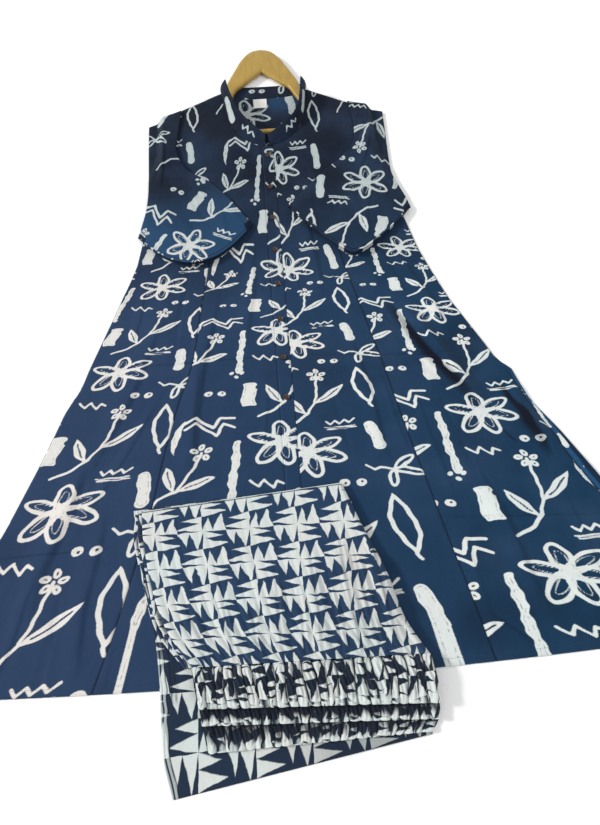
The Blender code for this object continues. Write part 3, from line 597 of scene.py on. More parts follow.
def printed_cotton(name):
    material, shader, place = start_material(name)
    ink, tone = place.field("ink"), place.field("tone")
    threads, weave = woven(place)
    slub = slubbed(threads)
    ragged = place.noise(620.0, 3.0)
    printed = (0.5 - (ink + (ragged - 0.5) * 0.0016) / INK_EDGE).clamped()
    scratch = (1.6 - abs(ink + 0.0031) / 0.0005).clamped() * (place.noise(170.0) * 5.0 - 2.3).clamped()
    cover = printed * (0.97 - scratch * 0.55) * (0.80 + slub * 0.36).clamped()
    # The navy is darker towards the neck and lighter at the left: partly the cloth's own colour, partly
    # painted light and shade.
    across, up_front = place.x_and_y()
    lower = ((UPPER_FROM - up_front) * 3.6).clamped()
    ground = lower.mix(NAVY_UPPER, (across * 1.5 + 0.5).clamped().mix(NAVY_LEFT, NAVY_RIGHT))
    ground = ((place.noise(9.0, 4.0) - 0.42) * 1.6 + (slub - 0.5) * 0.5).clamped().mix(ground, NAVY_WORN)
    ground = ((place.noise(5.0, 3.0) - 0.52) * 1.8).clamped().mix(ground, NAVY_SHADE_AND_MOTTLE)
    # Above nought, the tone gives the lighter teal of the turned side strip, a painted sheen inside the
    # back and a painted highlight on the left sleeve's lower part.
    ground = (tone * 0.9).clamped().mix(ground, TEAL)
    # Below nought, the tone is painted shade: in the seams, under the larger folds and packing creases, at
    # the turned strip and inside the sleeves. It dims the print there too.
    seam = (0 - tone).clamped()
    ground = seam.mix(ground, NAVY_SHADE_AND_MOTTLE)
    pale = (place.noise(6.0) * 1.4 - 0.3 - across * 1.2).clamped().mix(OFF_WHITE, WARM_WHITE)
    # The print is greyer towards the neck in the same way, partly painted shade.
    pale = lower.mix(PRINT_UPPER, pale)
    colour = (cover * (1 - seam * 0.5)).mix(ground, pale)
    crumple = abs(place.noise(26.0, 4.0) - 0.5) * 24.0 + place.noise(95.0) * 4.0
    relief = weave * 0.35 + slub * 0.8 + crumple + cover * 0.4
    end_material(place, shader, colour, 0.86 - cover * 0.08, relief, WEAVE_HEIGHT)
    shader.inputs["Sheen Weight"].default_value = 0.05
    shader.inputs["Sheen Roughness"].default_value = 0.45
    shader.inputs["Specular IOR Level"].default_value = 0.18
    return material


KURTI_COTTON = printed_cotton("kurti_cotton")


def lay_kurti(name, points, ink, node, tone=0.0, flip=False):
    """One piece of the kurti. Its tone is below nought where shade is painted in, and above nought for the
    lighter turned strip, a painted sheen or a painted highlight.
    """
    fields = {"ink": ink, "tone": tone * np.ones(ink.shape)}
    sheet = lay_sheet(name, points, points[..., :2], fields, KURTI_COTTON, flip)
    place_piece(sheet, node)
    return sheet


def back_points():
    stretches = [np.linspace(first, last, count, endpoint=False)
                 for first, last, count in BACK_STRETCHES]
    rows = np.concatenate(stretches + [[BACK_STRETCHES[-1][1]]])
    on_side = rows <= ARM_ROW
    left_x = np.where(on_side, read_side("left", rows), read_smooth(FRONT_ROWS, "outer_l", rows))
    left_y = np.where(on_side, read_side("left_y", rows), read_smooth(FRONT_ROWS, "outer_y", rows))
    right_x = np.where(on_side, read_side("right", rows), read_smooth(FRONT_ROWS, "outer_r", rows))
    right_y = np.where(on_side, read_side("right_y", rows), left_y)
    part = np.linspace(0, 1, BACK_COLUMNS)[None, :]
    x = left_x[:, None] * (1 - part) + right_x[:, None] * part
    y = left_y[:, None] * (1 - part) + right_y[:, None] * part
    y = hem_curve(x, y)
    reach = FRONT_ROWS[SHOULDER_ROW]
    top_x = reach.outer_l * (1 - part) + reach.outer_r * part
    rise = np.linspace(0, 1, BACK_NECK_LINES)[1:, None]
    x = np.vstack([x, x[-1:] * (1 - rise) + top_x * rise])
    y = np.vstack([y, y[-1:] * (1 - rise) + back_neck_y(top_x) * rise])
    return points_at(x, y, CLOTH)


BACK_FLOWER_AT = (-0.039, 1.103)
BACK_PRINT_SIZE = 0.94
back = back_points()
back_u = (back[..., 0] - BACK_FLOWER_AT[0]) * BACK_PRINT_SIZE
back_row = (BACK_FLOWER_AT[1] - back[..., 1]) / TILE_HIGH
# A painted sheen of lighter teal on the back's inside, right of the middle, near the back neck.
back_shine = smooth_step(-0.01, 0.02, back[..., 0]) * smooth_step(1.10, 1.13, back[..., 1]) * 0.6
back_sheet = lay_kurti("kurti_back_sheet", back, print_at(back_u, back_row), "kurti_back", back_shine)
thicken(back_sheet, CLOTH)


# The four front panels: two at the centre, from the placket to the panel seams, and
# one at each side. They are cut from the same cloth and seamed, so the print breaks
# at each seam. They lie on the back, over the hanger at the shoulders, with the
# creases of a garment that was packed and shaken out.
FRONT_REST = 0.0027
HANGER_RISE = 0.0128
HANGER_LOWER = (0.028, 0.07, 0.1)
SHOULDER_ROUND = 0.014
SHOULDER_EDGE = 0.07
CHEST = (0.915, 1.030)
ARM = (0.202, 0.226)
PLACKET_HALF = 0.012
PALAZZO_PLACE = (-0.262, 0.192, 0.300)
PLACE_BLEND = 0.035
Fold = namedtuple("Fold", "x0 y0 x1 y1 rise half_width")
FOLDS = [
    Fold(0.322, 0.420, 0.220, 0.602, 0.0090, 0.026),
    Fold(0.424, 0.318, 0.372, 0.440, 0.0080, 0.024),
    Fold(0.470, 0.330, 0.560, 0.170, 0.0040, 0.034),
    Fold(0.118, 0.560, 0.158, 0.300, 0.0030, 0.026),
    Fold(-0.118, 0.640, -0.170, 0.300, 0.0035, 0.030),
    Fold(-0.205, 0.620, -0.330, 0.300, 0.0030, 0.034),
    Fold(-0.330, 0.360, -0.400, 0.120, 0.0040, 0.038),
    Fold(-0.300, 0.260, -0.330, 0.030, 0.0030, 0.030),
    Fold(0.290, 0.300, 0.360, 0.060, 0.0045, 0.036),
    Fold(0.230, 0.720, 0.290, 0.560, 0.0045, 0.026),
    Fold(-0.040, 0.760, -0.060, 0.560, 0.0022, 0.026),
    Fold(0.060, 0.900, 0.075, 0.640, 0.0025, 0.026),
]
CREASES = [
    Fold(-0.300, 0.512, 0.020, 0.526, -0.0009, 0.006),
    Fold(0.030, 0.522, 0.340, 0.500, -0.0008, 0.007),
    Fold(-0.300, 0.498, 0.330, 0.500, 0.0011, 0.020),
    Fold(-0.470, 0.205, -0.270, 0.212, -0.0009, 0.006),
    Fold(0.200, 0.222, 0.500, 0.205, -0.0009, 0.007),
    Fold(-0.460, 0.192, -0.280, 0.198, 0.0012, 0.018),
    Fold(0.230, 0.208, 0.480, 0.190, 0.0012, 0.018),
    Fold(0.345, 0.330, 0.392, 0.250, -0.0012, 0.012),
    Fold(0.180, 0.585, 0.300, 0.405, -0.0010, 0.012),
    Fold(0.330, 0.150, 0.400, 0.110, -0.0012, 0.009),
    Fold(0.400, 0.110, 0.430, 0.060, 0.0014, 0.014),
    Fold(-0.235, 0.700, -0.262, 0.560, 0.0012, 0.016),
    Fold(-0.160, 0.720, -0.186, 0.540, -0.0010, 0.012),
    Fold(-0.210, 0.460, -0.330, 0.250, 0.0014, 0.016),
    Fold(-0.245, 0.470, -0.370, 0.230, -0.0010, 0.012),
    Fold(-0.390, 0.180, -0.440, 0.030, 0.0016, 0.018),
    Fold(-0.350, 0.150, -0.372, 0.020, -0.0011, 0.014),
    Fold(-0.260, 0.160, -0.286, 0.020, 0.0014, 0.014),
    Fold(-0.460, 0.120, -0.500, 0.030, 0.0013, 0.016),
    Fold(0.215, 0.440, 0.250, 0.240, 0.0013, 0.014),
    Fold(0.260, 0.430, 0.300, 0.260, -0.0010, 0.012),
    Fold(0.420, 0.260, 0.450, 0.090, 0.0014, 0.018),
    Fold(0.500, 0.190, 0.540, 0.040, 0.0014, 0.018),
    Fold(0.255, 0.190, 0.275, 0.030, 0.0013, 0.014),
    Fold(0.160, 0.480, 0.190, 0.330, 0.0010, 0.012),
    Fold(0.020, 0.700, 0.070, 0.590, 0.0010, 0.012),
    Fold(-0.030, 0.480, -0.045, 0.330, 0.0010, 0.012),
    Fold(0.080, 0.450, 0.100, 0.320, -0.0009, 0.012),
    Fold(-0.110, 0.900, -0.060, 0.760, 0.0012, 0.014),
    Fold(0.030, 0.820, 0.100, 0.760, 0.0009, 0.012),
    Fold(-0.090, 0.660, -0.020, 0.640, -0.0008, 0.010),
    Fold(0.190, 0.760, 0.225, 0.640, 0.0012, 0.014),
    Fold(-0.170, 0.820, -0.205, 0.700, 0.0012, 0.014),
]
FOLD_STEEP = 0.38
DEEPEST_CREASE = -0.0008
SHADES = [
    Fold(0.193, 0.616, 0.314, 0.414, 1.20, 0.0210),
    Fold(0.360, 0.444, 0.402, 0.362, 1.00, 0.0120),
    Fold(0.388, 0.392, 0.418, 0.312, 1.00, 0.0200),
    Fold(0.350, 0.357, 0.367, 0.334, 0.80, 0.0045),
    Fold(-0.143, 0.515, -0.156, 0.352, 0.35, 0.0080),
    Fold(0.272, 0.075, 0.328, 0.028, 0.45, 0.0050),
    Fold(-0.300, 0.519, 0.020, 0.524, 0.34, 0.0022),
    Fold(0.030, 0.521, 0.345, 0.500, 0.34, 0.0022),
    Fold(-0.470, 0.208, -0.262, 0.213, 0.34, 0.0024),
    Fold(0.195, 0.222, 0.505, 0.204, 0.34, 0.0024),
    Fold(0.170, 0.610, 0.205, 0.560, 0.40, 0.0040),
]
SEAM_SHADE = (0.66, 0.0010)
SEAM_DIP = 0.0014
SEAM_WIDE = 0.0011
HEM_DEEP = 0.011
HEM_THICK = 0.0004
HEM_EDGE = (0.0015, 0.0022)
SIDE_EDGE = (0.0002, 0.0035)
STRIP_IN = (0.008, 0.014)
STRIP_NARROWS = (0.26, 0.44)
STRIP_ENDS = ((0.02, 0.06), (0.43, 0.48))
STRIP_WIDE = 0.009
STRIP_CREASE = 0.0016
STRIP_DIP_WIDE = 0.0035
RIPPLE = 0.0005
RIPPLE_LIFT = 0.0003
RIPPLE_LEAST = -0.0002


def add_folds(x, y, folds):
    total = np.zeros(x.shape)
    for fold in folds:
        run_x, run_y = fold.x1 - fold.x0, fold.y1 - fold.y0
        length = math.hypot(run_x, run_y)
        along = ((x - fold.x0) * run_x + (y - fold.y0) * run_y) / length ** 2
        across = ((x - fold.x0) * run_y - (y - fold.y0) * run_x) / length
        across = across + 0.10 * fold.half_width * np.sin(along * 7 + fold.x0 * 40)
        taper = smooth_step(-0.15, 0.3, along) * (1 - smooth_step(0.7, 1.15, along))
        reach = fold.half_width * np.where(across < 0, FOLD_STEEP, 1.0)
        ridge = np.cos(np.clip(across / reach, -1, 1) * math.pi / 2) ** 2
        total += fold.rise * taper * ridge
    return total


def ripples(x, y, strength):
    """Slight unevenness of handled cotton."""
    total = np.zeros(x.shape)
    for step in range(1, 7):
        way = step * 2.4
        pitch = 38 + 23 * step
        total += np.sin((x * math.cos(way) + y * math.sin(way)) * pitch + step * 1.7) / (2 + step)
    return total * strength


def hanger_rise(x, y):
    per_metre, lower_from, lower_over = HANGER_LOWER
    height = HANGER_RISE - per_metre * np.clip(np.abs(x) - lower_from, 0, lower_over)
    below = (shoulder_y(x) - y) * math.cos(math.atan(SHOULDER_SLOPE))
    near = np.clip(below / SHOULDER_ROUND, 0, 1)
    rounded = np.maximum(SHOULDER_EDGE, np.sqrt(np.maximum(0, 1 - (1 - near) ** 2)))
    return height * rounded * smooth_step(*CHEST, y) * (1 - smooth_step(*ARM, np.abs(x)))


def palazzo_clear(x, y):
    left, right, top = PALAZZO_PLACE
    aside = np.maximum(np.maximum(left - x, x - right), y - top)
    return smooth_step(0.0, PLACE_BLEND, aside)


def front_height(x, y):
    loose = add_folds(x, y, FOLDS) + np.maximum(add_folds(x, y, CREASES), DEEPEST_CREASE)
    loose += np.maximum(ripples(x, y, RIPPLE) + RIPPLE_LIFT, RIPPLE_LEAST)
    return FRONT_REST + hanger_rise(x, y) + loose * palazzo_clear(x, y)


def even_rows(first, last, count):
    """Row positions, evenly spaced up the front."""
    guide = np.linspace(first, last, 3001)
    height = read_smooth(FRONT_ROWS, "inner_y", guide) + read_smooth(FRONT_ROWS, "outer_y", guide)
    walked = np.concatenate([[0.0], np.cumsum(np.abs(np.diff(height)))])
    return np.interp(np.linspace(0, walked[-1], count), walked, guide)


def panel(inner, outer, columns):
    """Points between two edges, and how far each lies from either edge."""
    width = np.hypot(*(outer - inner).T)[:, None]
    part = np.linspace(0, 1, columns)[None, :] * np.ones_like(width)
    part = np.hstack([-SEAM_WIDE / 2 / width, part, 1 + SEAM_WIDE / 2 / width])
    flat = inner[:, None, :] * (1 - part[..., None]) + outer[:, None, :] * part[..., None]
    flat[..., 1] = hem_curve(flat[..., 0], flat[..., 1])
    return flat[..., 0], flat[..., 1], part * width, (1 - part) * width


def groove(distance):
    return SEAM_DIP * np.exp(-np.maximum(distance + SEAM_WIDE / 2, 0) / SEAM_WIDE)


def seam_shade(distance):
    most, wide = SEAM_SHADE
    return most * close_to(np.maximum(distance - 0.0006, 0), wide)


def roll_under(height, distance, low, wide):
    """Bring a sheet down to a lower height, round its edge."""
    near = np.clip(1 - distance / wide, 0, 1)
    return low + (height - low) * np.sqrt(np.maximum(1 - near ** 2, 0))


def make_front(name, node, inner, outer, columns, print_name, seamed_side):
    """One front panel. A seamed side ends at the side seam, over the back's edge. At the
    right the seam is turned up into view, as a narrow strip of the back's cloth."""
    x, y, from_inner, from_outer = panel(inner, outer, columns)
    z = front_height(x, y) - groove(from_inner)
    from_hem = y - y[:1]
    z += HEM_THICK * (1 - smooth_step(HEM_DEEP - 0.001, HEM_DEEP + 0.001, from_hem))
    z = roll_under(z, from_hem, *HEM_EDGE)
    # Painted shade in the seams, along the undersides of the larger folds and along the packing creases.
    tone = -seam_shade(from_inner) - add_folds(x, y, SHADES) * palazzo_clear(x, y)
    across, down = on_print(x, y, print_name)
    ink = print_at(across, down)
    if seamed_side:
        z = roll_under(z, from_outer, *SIDE_EDGE)
    else:
        z -= groove(from_outer)
        tone = tone - seam_shade(from_outer)
    if seamed_side > 0:
        within = STRIP_IN[0] + STRIP_IN[1] * (1 - smooth_step(*STRIP_NARROWS, y)) - from_outer
        shown = smooth_step(*STRIP_ENDS[0], y) * (1 - smooth_step(*STRIP_ENDS[1], y))
        beyond = smooth_step(STRIP_WIDE, STRIP_WIDE + 0.001, within)
        # The strip shows the back's lighter cloth. The crease along its inner edge and the cloth beyond
        # it, towards the edge, carry painted shade.
        turned = smooth_step(-0.001, 0.001, within) - 1.5 * beyond
        tone = tone + (turned - 1.2 * close_to(within, STRIP_CREASE)) * shown
        pieces = print_at(across * 1.9 + 0.11, down * 2.1) + 0.01 * beyond
        ink = np.where((within > 0) & (shown > 0.5), pieces, ink)
        z -= STRIP_CREASE * close_to(within, STRIP_DIP_WIDE) * shown
    points = points_at(x, y, z)
    if outer[0, 0] < 0:
        points, ink, tone = [field[:, ::-1] for field in (points, ink, tone)]
    return lay_kurti(name, points, ink, node, tone)


def edge_points(names, rows):
    return np.stack([read_smooth(FRONT_ROWS, name, rows) for name in names], axis=-1)


SIDES = ((-1, "l", "left"), (1, "r", "right"))
CENTRE_ROWS = even_rows(0, SHOULDER_ROW, 520)
OUTER_ROWS = even_rows(0, ARM_ROW, 480)
for (side, letter, word), cut in zip(SIDES, ((0.30, 1.16), (0.27, 1.16))):
    inner = edge_points(("inner_" + letter, "inner_y"), CENTRE_ROWS)
    inner[:, 0] = side * np.maximum(np.abs(inner[:, 0]), PLACKET_HALF - 0.0006)
    outer = edge_points(("outer_" + letter, "outer_y"), CENTRE_ROWS)
    centre = make_front("front_centre_%s_panel" % word, "front_centre_" + word, inner, outer,
                        104, "centre_" + word, 0)

for (side, letter, word), cut, area in zip(SIDES, ((0.27, 0.97), (0.37, 0.97)), (0.17, 0.20)):
    inner = edge_points(("outer_" + letter, "outer_y"), OUTER_ROWS)
    outer = np.stack([read_side(word, OUTER_ROWS), read_side(word + "_y", OUTER_ROWS)], axis=-1)
    panel_side = make_front("front_side_%s_panel" % word, "front_side_" + word, inner, outer,
                            116, "side_" + word, side)


# The placket. A folded band of the same cotton, top-stitched down both its edges
# over the front opening, and cut to carry on the print of the panel on its left.
STITCH_IN = 0.0022
STITCH_STEP = 0.0034
STITCH_LONG = 0.0023
STITCH_HALF = 0.00028
BAND_THICK = 0.0009
BAND_EDGE = 0.0013
BAND_EDGE_DROP = 0.0006
STITCH_DIP = 0.0003
STITCH_DIP_WIDE = 0.0008
BAND_STITCH_RISE = 0.0008
HEM_STITCH_RISE = 0.0005
BAND_STITCH_Y = (0.012, 0.992)
THREAD_NAVY = ((0.016, 0.040, 0.100, 1), (0.030, 0.070, 0.160, 1))


def sew(name, path):
    """A row of stitches along points in the kurti's frame, each a small spindle."""
    path = np.asarray(path)
    walked = np.concatenate([[0.0], np.cumsum(np.linalg.norm(np.diff(path, axis=0), axis=1))])
    middles = np.arange(STITCH_STEP, walked[-1] - STITCH_STEP, STITCH_STEP)
    ends = [np.stack([np.interp(middles + shift, walked, path[:, axis]) for axis in range(3)], axis=-1)
            for shift in (-STITCH_LONG / 2, STITCH_LONG / 2)]
    way = ends[1] - ends[0]
    way /= np.linalg.norm(way, axis=1)[:, None]
    beside = points_at(-way[:, 1], way[:, 0], 0.0) * STITCH_HALF
    above = np.array((0.0, 0.0, STITCH_HALF))
    centre = (ends[0] + ends[1]) / 2
    corners = [ends[0], centre + above, centre + beside, centre - above, centre - beside, ends[1]]
    points = np.stack(corners, axis=1).reshape(-1, 3) - MIDDLE
    ring = (1, 2, 3, 4)
    spindle = [(0, here, there) for here, there in zip(ring, ring[1:] + ring[:1])]
    spindle += [(5, there, here) for here, there in zip(ring, ring[1:] + ring[:1])]
    count = len(corners)
    faces = [tuple(count * stitch + corner for corner in face)
             for stitch in range(len(middles)) for face in spindle]
    mesh = bpy.data.meshes.new(name)
    mesh.from_pydata(points.tolist(), [], faces)
    mesh.materials.append(NAVY_THREAD)
    thread = add_object(name, mesh)
    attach(thread, "root")


NAVY_THREAD, thread_shader, thread_place = start_material("navy_thread")
end_material(thread_place, thread_shader,
             thread_place.noise(300.0).mix(*THREAD_NAVY), thread_place.noise(900.0) * 0.2 + 0.5,
             thread_place.noise(4000.0), WEAVE_HEIGHT)

rows = even_rows(0, NECK_ROW, 540)
band_y = read_smooth(FRONT_ROWS, "inner_y", rows)
edges = [np.stack([np.full(rows.shape, end), band_y], axis=-1) for end in (-PLACKET_HALF, PLACKET_HALF)]
band_x, band_y, from_left, from_right = panel(edges[0], edges[1], 18)
band_edge = np.minimum(from_left, from_right)
band_base = front_height(band_x, band_y)
band_z = roll_under(band_base + BAND_THICK, band_edge, 0.0, BAND_EDGE)
band_z = np.maximum(band_z, band_base - BAND_EDGE_DROP)
band_z -= STITCH_DIP * close_to(band_edge - STITCH_IN, STITCH_DIP_WIDE)
band_ink = print_at(*on_print(band_x, band_y, "centre_left"))
placket = lay_kurti("placket_band", points_at(band_x, band_y, band_z), band_ink, "placket")
for side, letter, word in SIDES:
    y = np.linspace(*BAND_STITCH_Y, 500)
    x = np.full(y.shape, side * (PLACKET_HALF - STITCH_IN))
    sew("placket_stitches_" + word, points_at(x, y, front_height(x, y) + BAND_STITCH_RISE))
for side, letter, word in SIDES:
    reach = abs(getattr(SIDE_ROWS[0], word))
    x = side * np.linspace(PLACKET_HALF + 0.003, reach - 0.006, 700)
    y = hem_curve(x, np.full(x.shape, FRONT_ROWS[0].inner_y)) + HEM_DEEP - 0.001
    sew("hem_stitches_" + word, points_at(x, y, front_height(x, y) + HEM_STITCH_RISE))


# The buttons. Eight small dark brown buttons, turned with a raised rim and a dished
# middle with four holes, sewn on at even steps down the placket.
BUTTON_RADIUS = 0.0052
BUTTON_THICK = 0.0026
BUTTON_RIM = 0.0012
BUTTON_DISH = 0.0007
BUTTON_FIRST_Y = 0.442
BUTTON_STEP = 0.0765
BUTTONS = 8
BUTTON_LIFT = 0.0007
BUTTON_TURN = 0.7
BUTTON_BROWNS = ((0.020, 0.010, 0.007, 1), (0.085, 0.042, 0.024, 1))
HOLE_RADIUS = 0.00055
HOLE_OUT = 0.0014
HOLE_DEEP = 0.004
BUTTON_SOFT = 0.0004


def soften(piece, width):
    apply_modifier(piece, "BEVEL", {"width": width, "segments": 2, "limit_method": "ANGLE"})


BUTTON_BROWN, button_shader, button_place = start_material("button_brown")
button_cloud = button_place.noise(260.0, 3.0)
end_material(button_place, button_shader,
             button_cloud.mix(*BUTTON_BROWNS), button_cloud * 0.15 + 0.20,
             button_place.noise(1500.0), 0.00003)

bpy.ops.object.select_all(action="DESELECT")
bpy.ops.mesh.primitive_cylinder_add(vertices=32, radius=BUTTON_RADIUS, depth=BUTTON_THICK)
button = bpy.context.object
bpy.ops.object.mode_set(mode="EDIT")
bpy.ops.mesh.select_mode(type="FACE")
bpy.ops.mesh.select_all(action="DESELECT")
shape = bmesh.from_edit_mesh(button.data)
max(shape.faces, key=lambda face: face.calc_center_median().z).select_set(True)
bmesh.update_edit_mesh(button.data)
bpy.ops.mesh.inset(thickness=BUTTON_RIM)
bpy.ops.mesh.inset(thickness=BUTTON_RIM / 3)
bpy.ops.transform.translate(value=(0, 0, -BUTTON_DISH))
bpy.ops.object.mode_set(mode="OBJECT")
soften(button, BUTTON_SOFT)
for angle in (45, 135, 225, 315):
    way = math.radians(angle)
    middle = (HOLE_OUT * math.cos(way), HOLE_OUT * math.sin(way), 0.0)
    bpy.ops.mesh.primitive_cylinder_add(vertices=10, radius=HOLE_RADIUS, depth=HOLE_DEEP, location=middle)
    drill = bpy.context.object
    apply_modifier(button, "BOOLEAN", {"operation": "DIFFERENCE", "object": drill})
    bpy.data.objects.remove(drill)
button.data.shade_smooth()
button.data.set_sharp_from_angle(angle=math.radians(35))
button.data.materials.append(BUTTON_BROWN)
for index in range(BUTTONS):
    y = BUTTON_FIRST_Y + index * BUTTON_STEP
    near = np.array([y - 2 * BUTTON_RADIUS, y, y + 2 * BUTTON_RADIUS])
    heights = front_height(np.zeros(3), near)
    tilt = math.atan2(heights[2] - heights[0], near[2] - near[0])
    height = max(heights[1], (heights[0] + heights[2]) / 2) + BUTTON_LIFT + BUTTON_THICK / 2
    sewn = add_object("sewn_button_%d" % (index + 1), button.data.copy())
    turn = Matrix.Rotation(tilt, 4, "X") @ Matrix.Rotation(BUTTON_TURN * index, 4, "Z")
    sewn.data.transform(Matrix.Translation((-MIDDLE_X, y - MIDDLE_Y, height)) @ turn)
    place_piece(sewn, "button_%d" % (index + 1))
bpy.data.objects.remove(button)


# The stand collar. Two front halves stand up from the neck seam and lean inwards,
# and the back of the collar lies flat under the hanger. All are of doubled cotton.
Collar = namedtuple("Collar", "row left left_y left_z right right_y right_z")
COLLAR_ROWS = [
    Collar(14, -0.0016, 1.021, 0.0230, 0.0016, 1.021, 0.0230),
    Collar(15, -0.0130, 1.033, 0.0255, 0.0170, 1.031, 0.0255),
    Collar(16, -0.0300, 1.052, 0.0280, 0.0360, 1.047, 0.0285),
    Collar(17, -0.0460, 1.073, 0.0310, 0.0560, 1.064, 0.0330),
    Collar(18, -0.0570, 1.095, 0.0350, 0.0690, 1.086, 0.0380),
    Collar(19, -0.0670, 1.119, 0.0400, 0.0750, 1.112, 0.0420),
    Collar(20, -0.0730, 1.143, 0.0420, 0.0780, 1.138, 0.0430),
    Collar(21, -0.0770, 1.164, 0.0410, 0.0805, 1.161, 0.0420),
]
COLLAR_FOOT_HALF = 0.004
COLLAR_BOW = 0.0015
SHOULDER_BOW = 0.0035
COLLAR_BELLY = (0.0, -0.001, 0.0012)
COLLAR_WALL = 0.0011
COLLAR_LOW = 0.0075
COLLAR_TALL = 0.031
COLLAR_HEIGHTS = 18
BACK_COLLAR_TOP = 1.185
BACK_COLLAR_CURVE = 0.35
BACK_COLLAR_PUFF = 0.0006
CollarPrint = namedtuple("CollarPrint", "bar_from bar_to squiggle")
COLLAR_PRINTS = (CollarPrint(0.100, 0.158, 0.050), CollarPrint(0.125, 0.170, 0.070))

for (side, letter, word), at in zip(SIDES, COLLAR_PRINTS):
    rows = np.linspace(NECK_ROW, SHOULDER_ROW, 110)
    base_x = read_smooth(FRONT_ROWS, "inner_" + letter, rows)
    base_x = side * np.maximum(np.abs(base_x), COLLAR_FOOT_HALF)
    base_y = read_smooth(FRONT_ROWS, "inner_y", rows)
    base_z = np.maximum(front_height(base_x, base_y), COLLAR_LOW)
    base = points_at(base_x, base_y, base_z)
    position = rows - NECK_ROW
    top = np.stack([read_smooth(COLLAR_ROWS, name, position)
                    for name in (word, word + "_y", word + "_z")], axis=-1)
    bow = COLLAR_BOW + SHOULDER_BOW * smooth_step(4.5, 7.0, position)
    middle = (base + top) / 2 + np.array(COLLAR_BELLY)
    middle[:, 0] += side * bow
    part = np.linspace(0, 1, COLLAR_HEIGHTS)[None, :, None]
    points = (base[:, None] * (1 - part) * (1 - 2 * part) + middle[:, None] * 4 * part * (1 - part)
              + top[:, None] * part * (2 * part - 1))
    walked = np.concatenate([[0.0], np.cumsum(np.linalg.norm(np.diff(base, axis=0), axis=1))])
    along, up = np.meshgrid(walked, np.linspace(0, COLLAR_TALL, COLLAR_HEIGHTS), indexing="ij")
    ink = together(draw_line(along, up, [(at.bar_from, 0.010), (at.bar_to, 0.016)], 0.0068),
                   draw_squiggle(along - at.squiggle, (up - 0.016) * 1.2))
    ink += 0.0009 * np.sin(along * 210) * np.sin(up * 300 + 1)
    cut = np.stack([along, up], axis=-1)
    fields = {"ink": ink, "tone": np.zeros(ink.shape)}
    half = lay_sheet("collar_%s_band" % word, points, cut, fields, KURTI_COTTON, flip=side > 0)
    thicken(half, COLLAR_WALL)
    place_piece(half, "collar_" + word)
    sew("collar_%s_stitches" % word, points[:, -3] + np.array((side * 0.0004, -0.0002, 0.0002)))

rise, part = even_grid(20, 72)
neck = FRONT_ROWS[SHOULDER_ROW]
x = neck.inner_l * (1 - part) + neck.inner_r * part
y = (back_neck_y(x) + 0.0003) * (1 - rise) + (BACK_COLLAR_TOP + BACK_COLLAR_CURVE * x * x) * rise
z = CLOTH + BACK_COLLAR_PUFF * np.sin(math.pi * rise)
ink = print_at(x * BACK_PRINT_SIZE + 0.06, (BACK_FLOWER_AT[1] - y) / TILE_HIGH + 0.46)
points = points_at(x, y, z)
back_collar = lay_kurti("collar_back_band", points, ink, "collar_back")
thicken(back_collar, COLLAR_WALL)


# The sleeves. Wide elbow sleeves, folded flat and laid on the front, each a tube that is open at its cuff,
# where its turned-in facing and its inside show, darkened with painted shade.
Sleeve = namedtuple("Sleeve", "outer_x outer_y inner_x inner_y sag loft")
SLEEVE_LEFT = [
    Sleeve(-0.2400, 1.081, -0.1740, 1.108, 0.000, 0.0036),
    Sleeve(-0.2395, 1.028, -0.1800, 1.048, 0.000, 0.0044),
    Sleeve(-0.2385, 0.975, -0.1840, 0.996, 0.004, 0.0048),
    Sleeve(-0.2375, 0.932, -0.1640, 0.952, 0.010, 0.0052),
    Sleeve(-0.2375, 0.896, -0.1200, 0.920, 0.022, 0.0056),
    Sleeve(-0.2410, 0.856, -0.0880, 0.882, 0.040, 0.0072),
    Sleeve(-0.2480, 0.820, -0.0620, 0.842, 0.060, 0.0090),
    Sleeve(-0.2540, 0.792, -0.0410, 0.806, 0.076, 0.0110),
]
SLEEVE_RIGHT = [
    Sleeve(0.2460, 1.089, 0.1760, 1.109, 0.000, 0.0036),
    Sleeve(0.2445, 1.042, 0.1820, 1.052, 0.000, 0.0044),
    Sleeve(0.2425, 0.992, 0.1760, 0.998, 0.004, 0.0048),
    Sleeve(0.2415, 0.950, 0.1500, 0.962, 0.012, 0.0052),
    Sleeve(0.2420, 0.915, 0.1150, 0.935, 0.030, 0.0056),
    Sleeve(0.2520, 0.879, 0.0800, 0.900, 0.055, 0.0072),
    Sleeve(0.2610, 0.852, 0.0530, 0.870, 0.085, 0.0090),
    Sleeve(0.2660, 0.827, 0.0330, 0.844, 0.113, 0.0110),
]
SLEEVE_CLEAR = 0.0006
SLEEVE_REACH = (-0.014, -0.007, 0.0, 0.007, 0.014)
SLEEVE_FULLNESS = 0.7
LEAST_LOFT = 0.0022
LOOSE_RIPPLE = 0.0006
SLEEVE_COUNT = 150
FOLDED_EDGE = 0.0034
UNDER_COLUMNS = 44
UPPER_COLUMNS = 96
UNDER_SHADE = -0.9
FACING_SHADE = -0.5
FACING_LINE = -7
FACING_BACK = 10
FACING_IN = 0.0009
BODY_EDGE = (-0.001, 0.016)
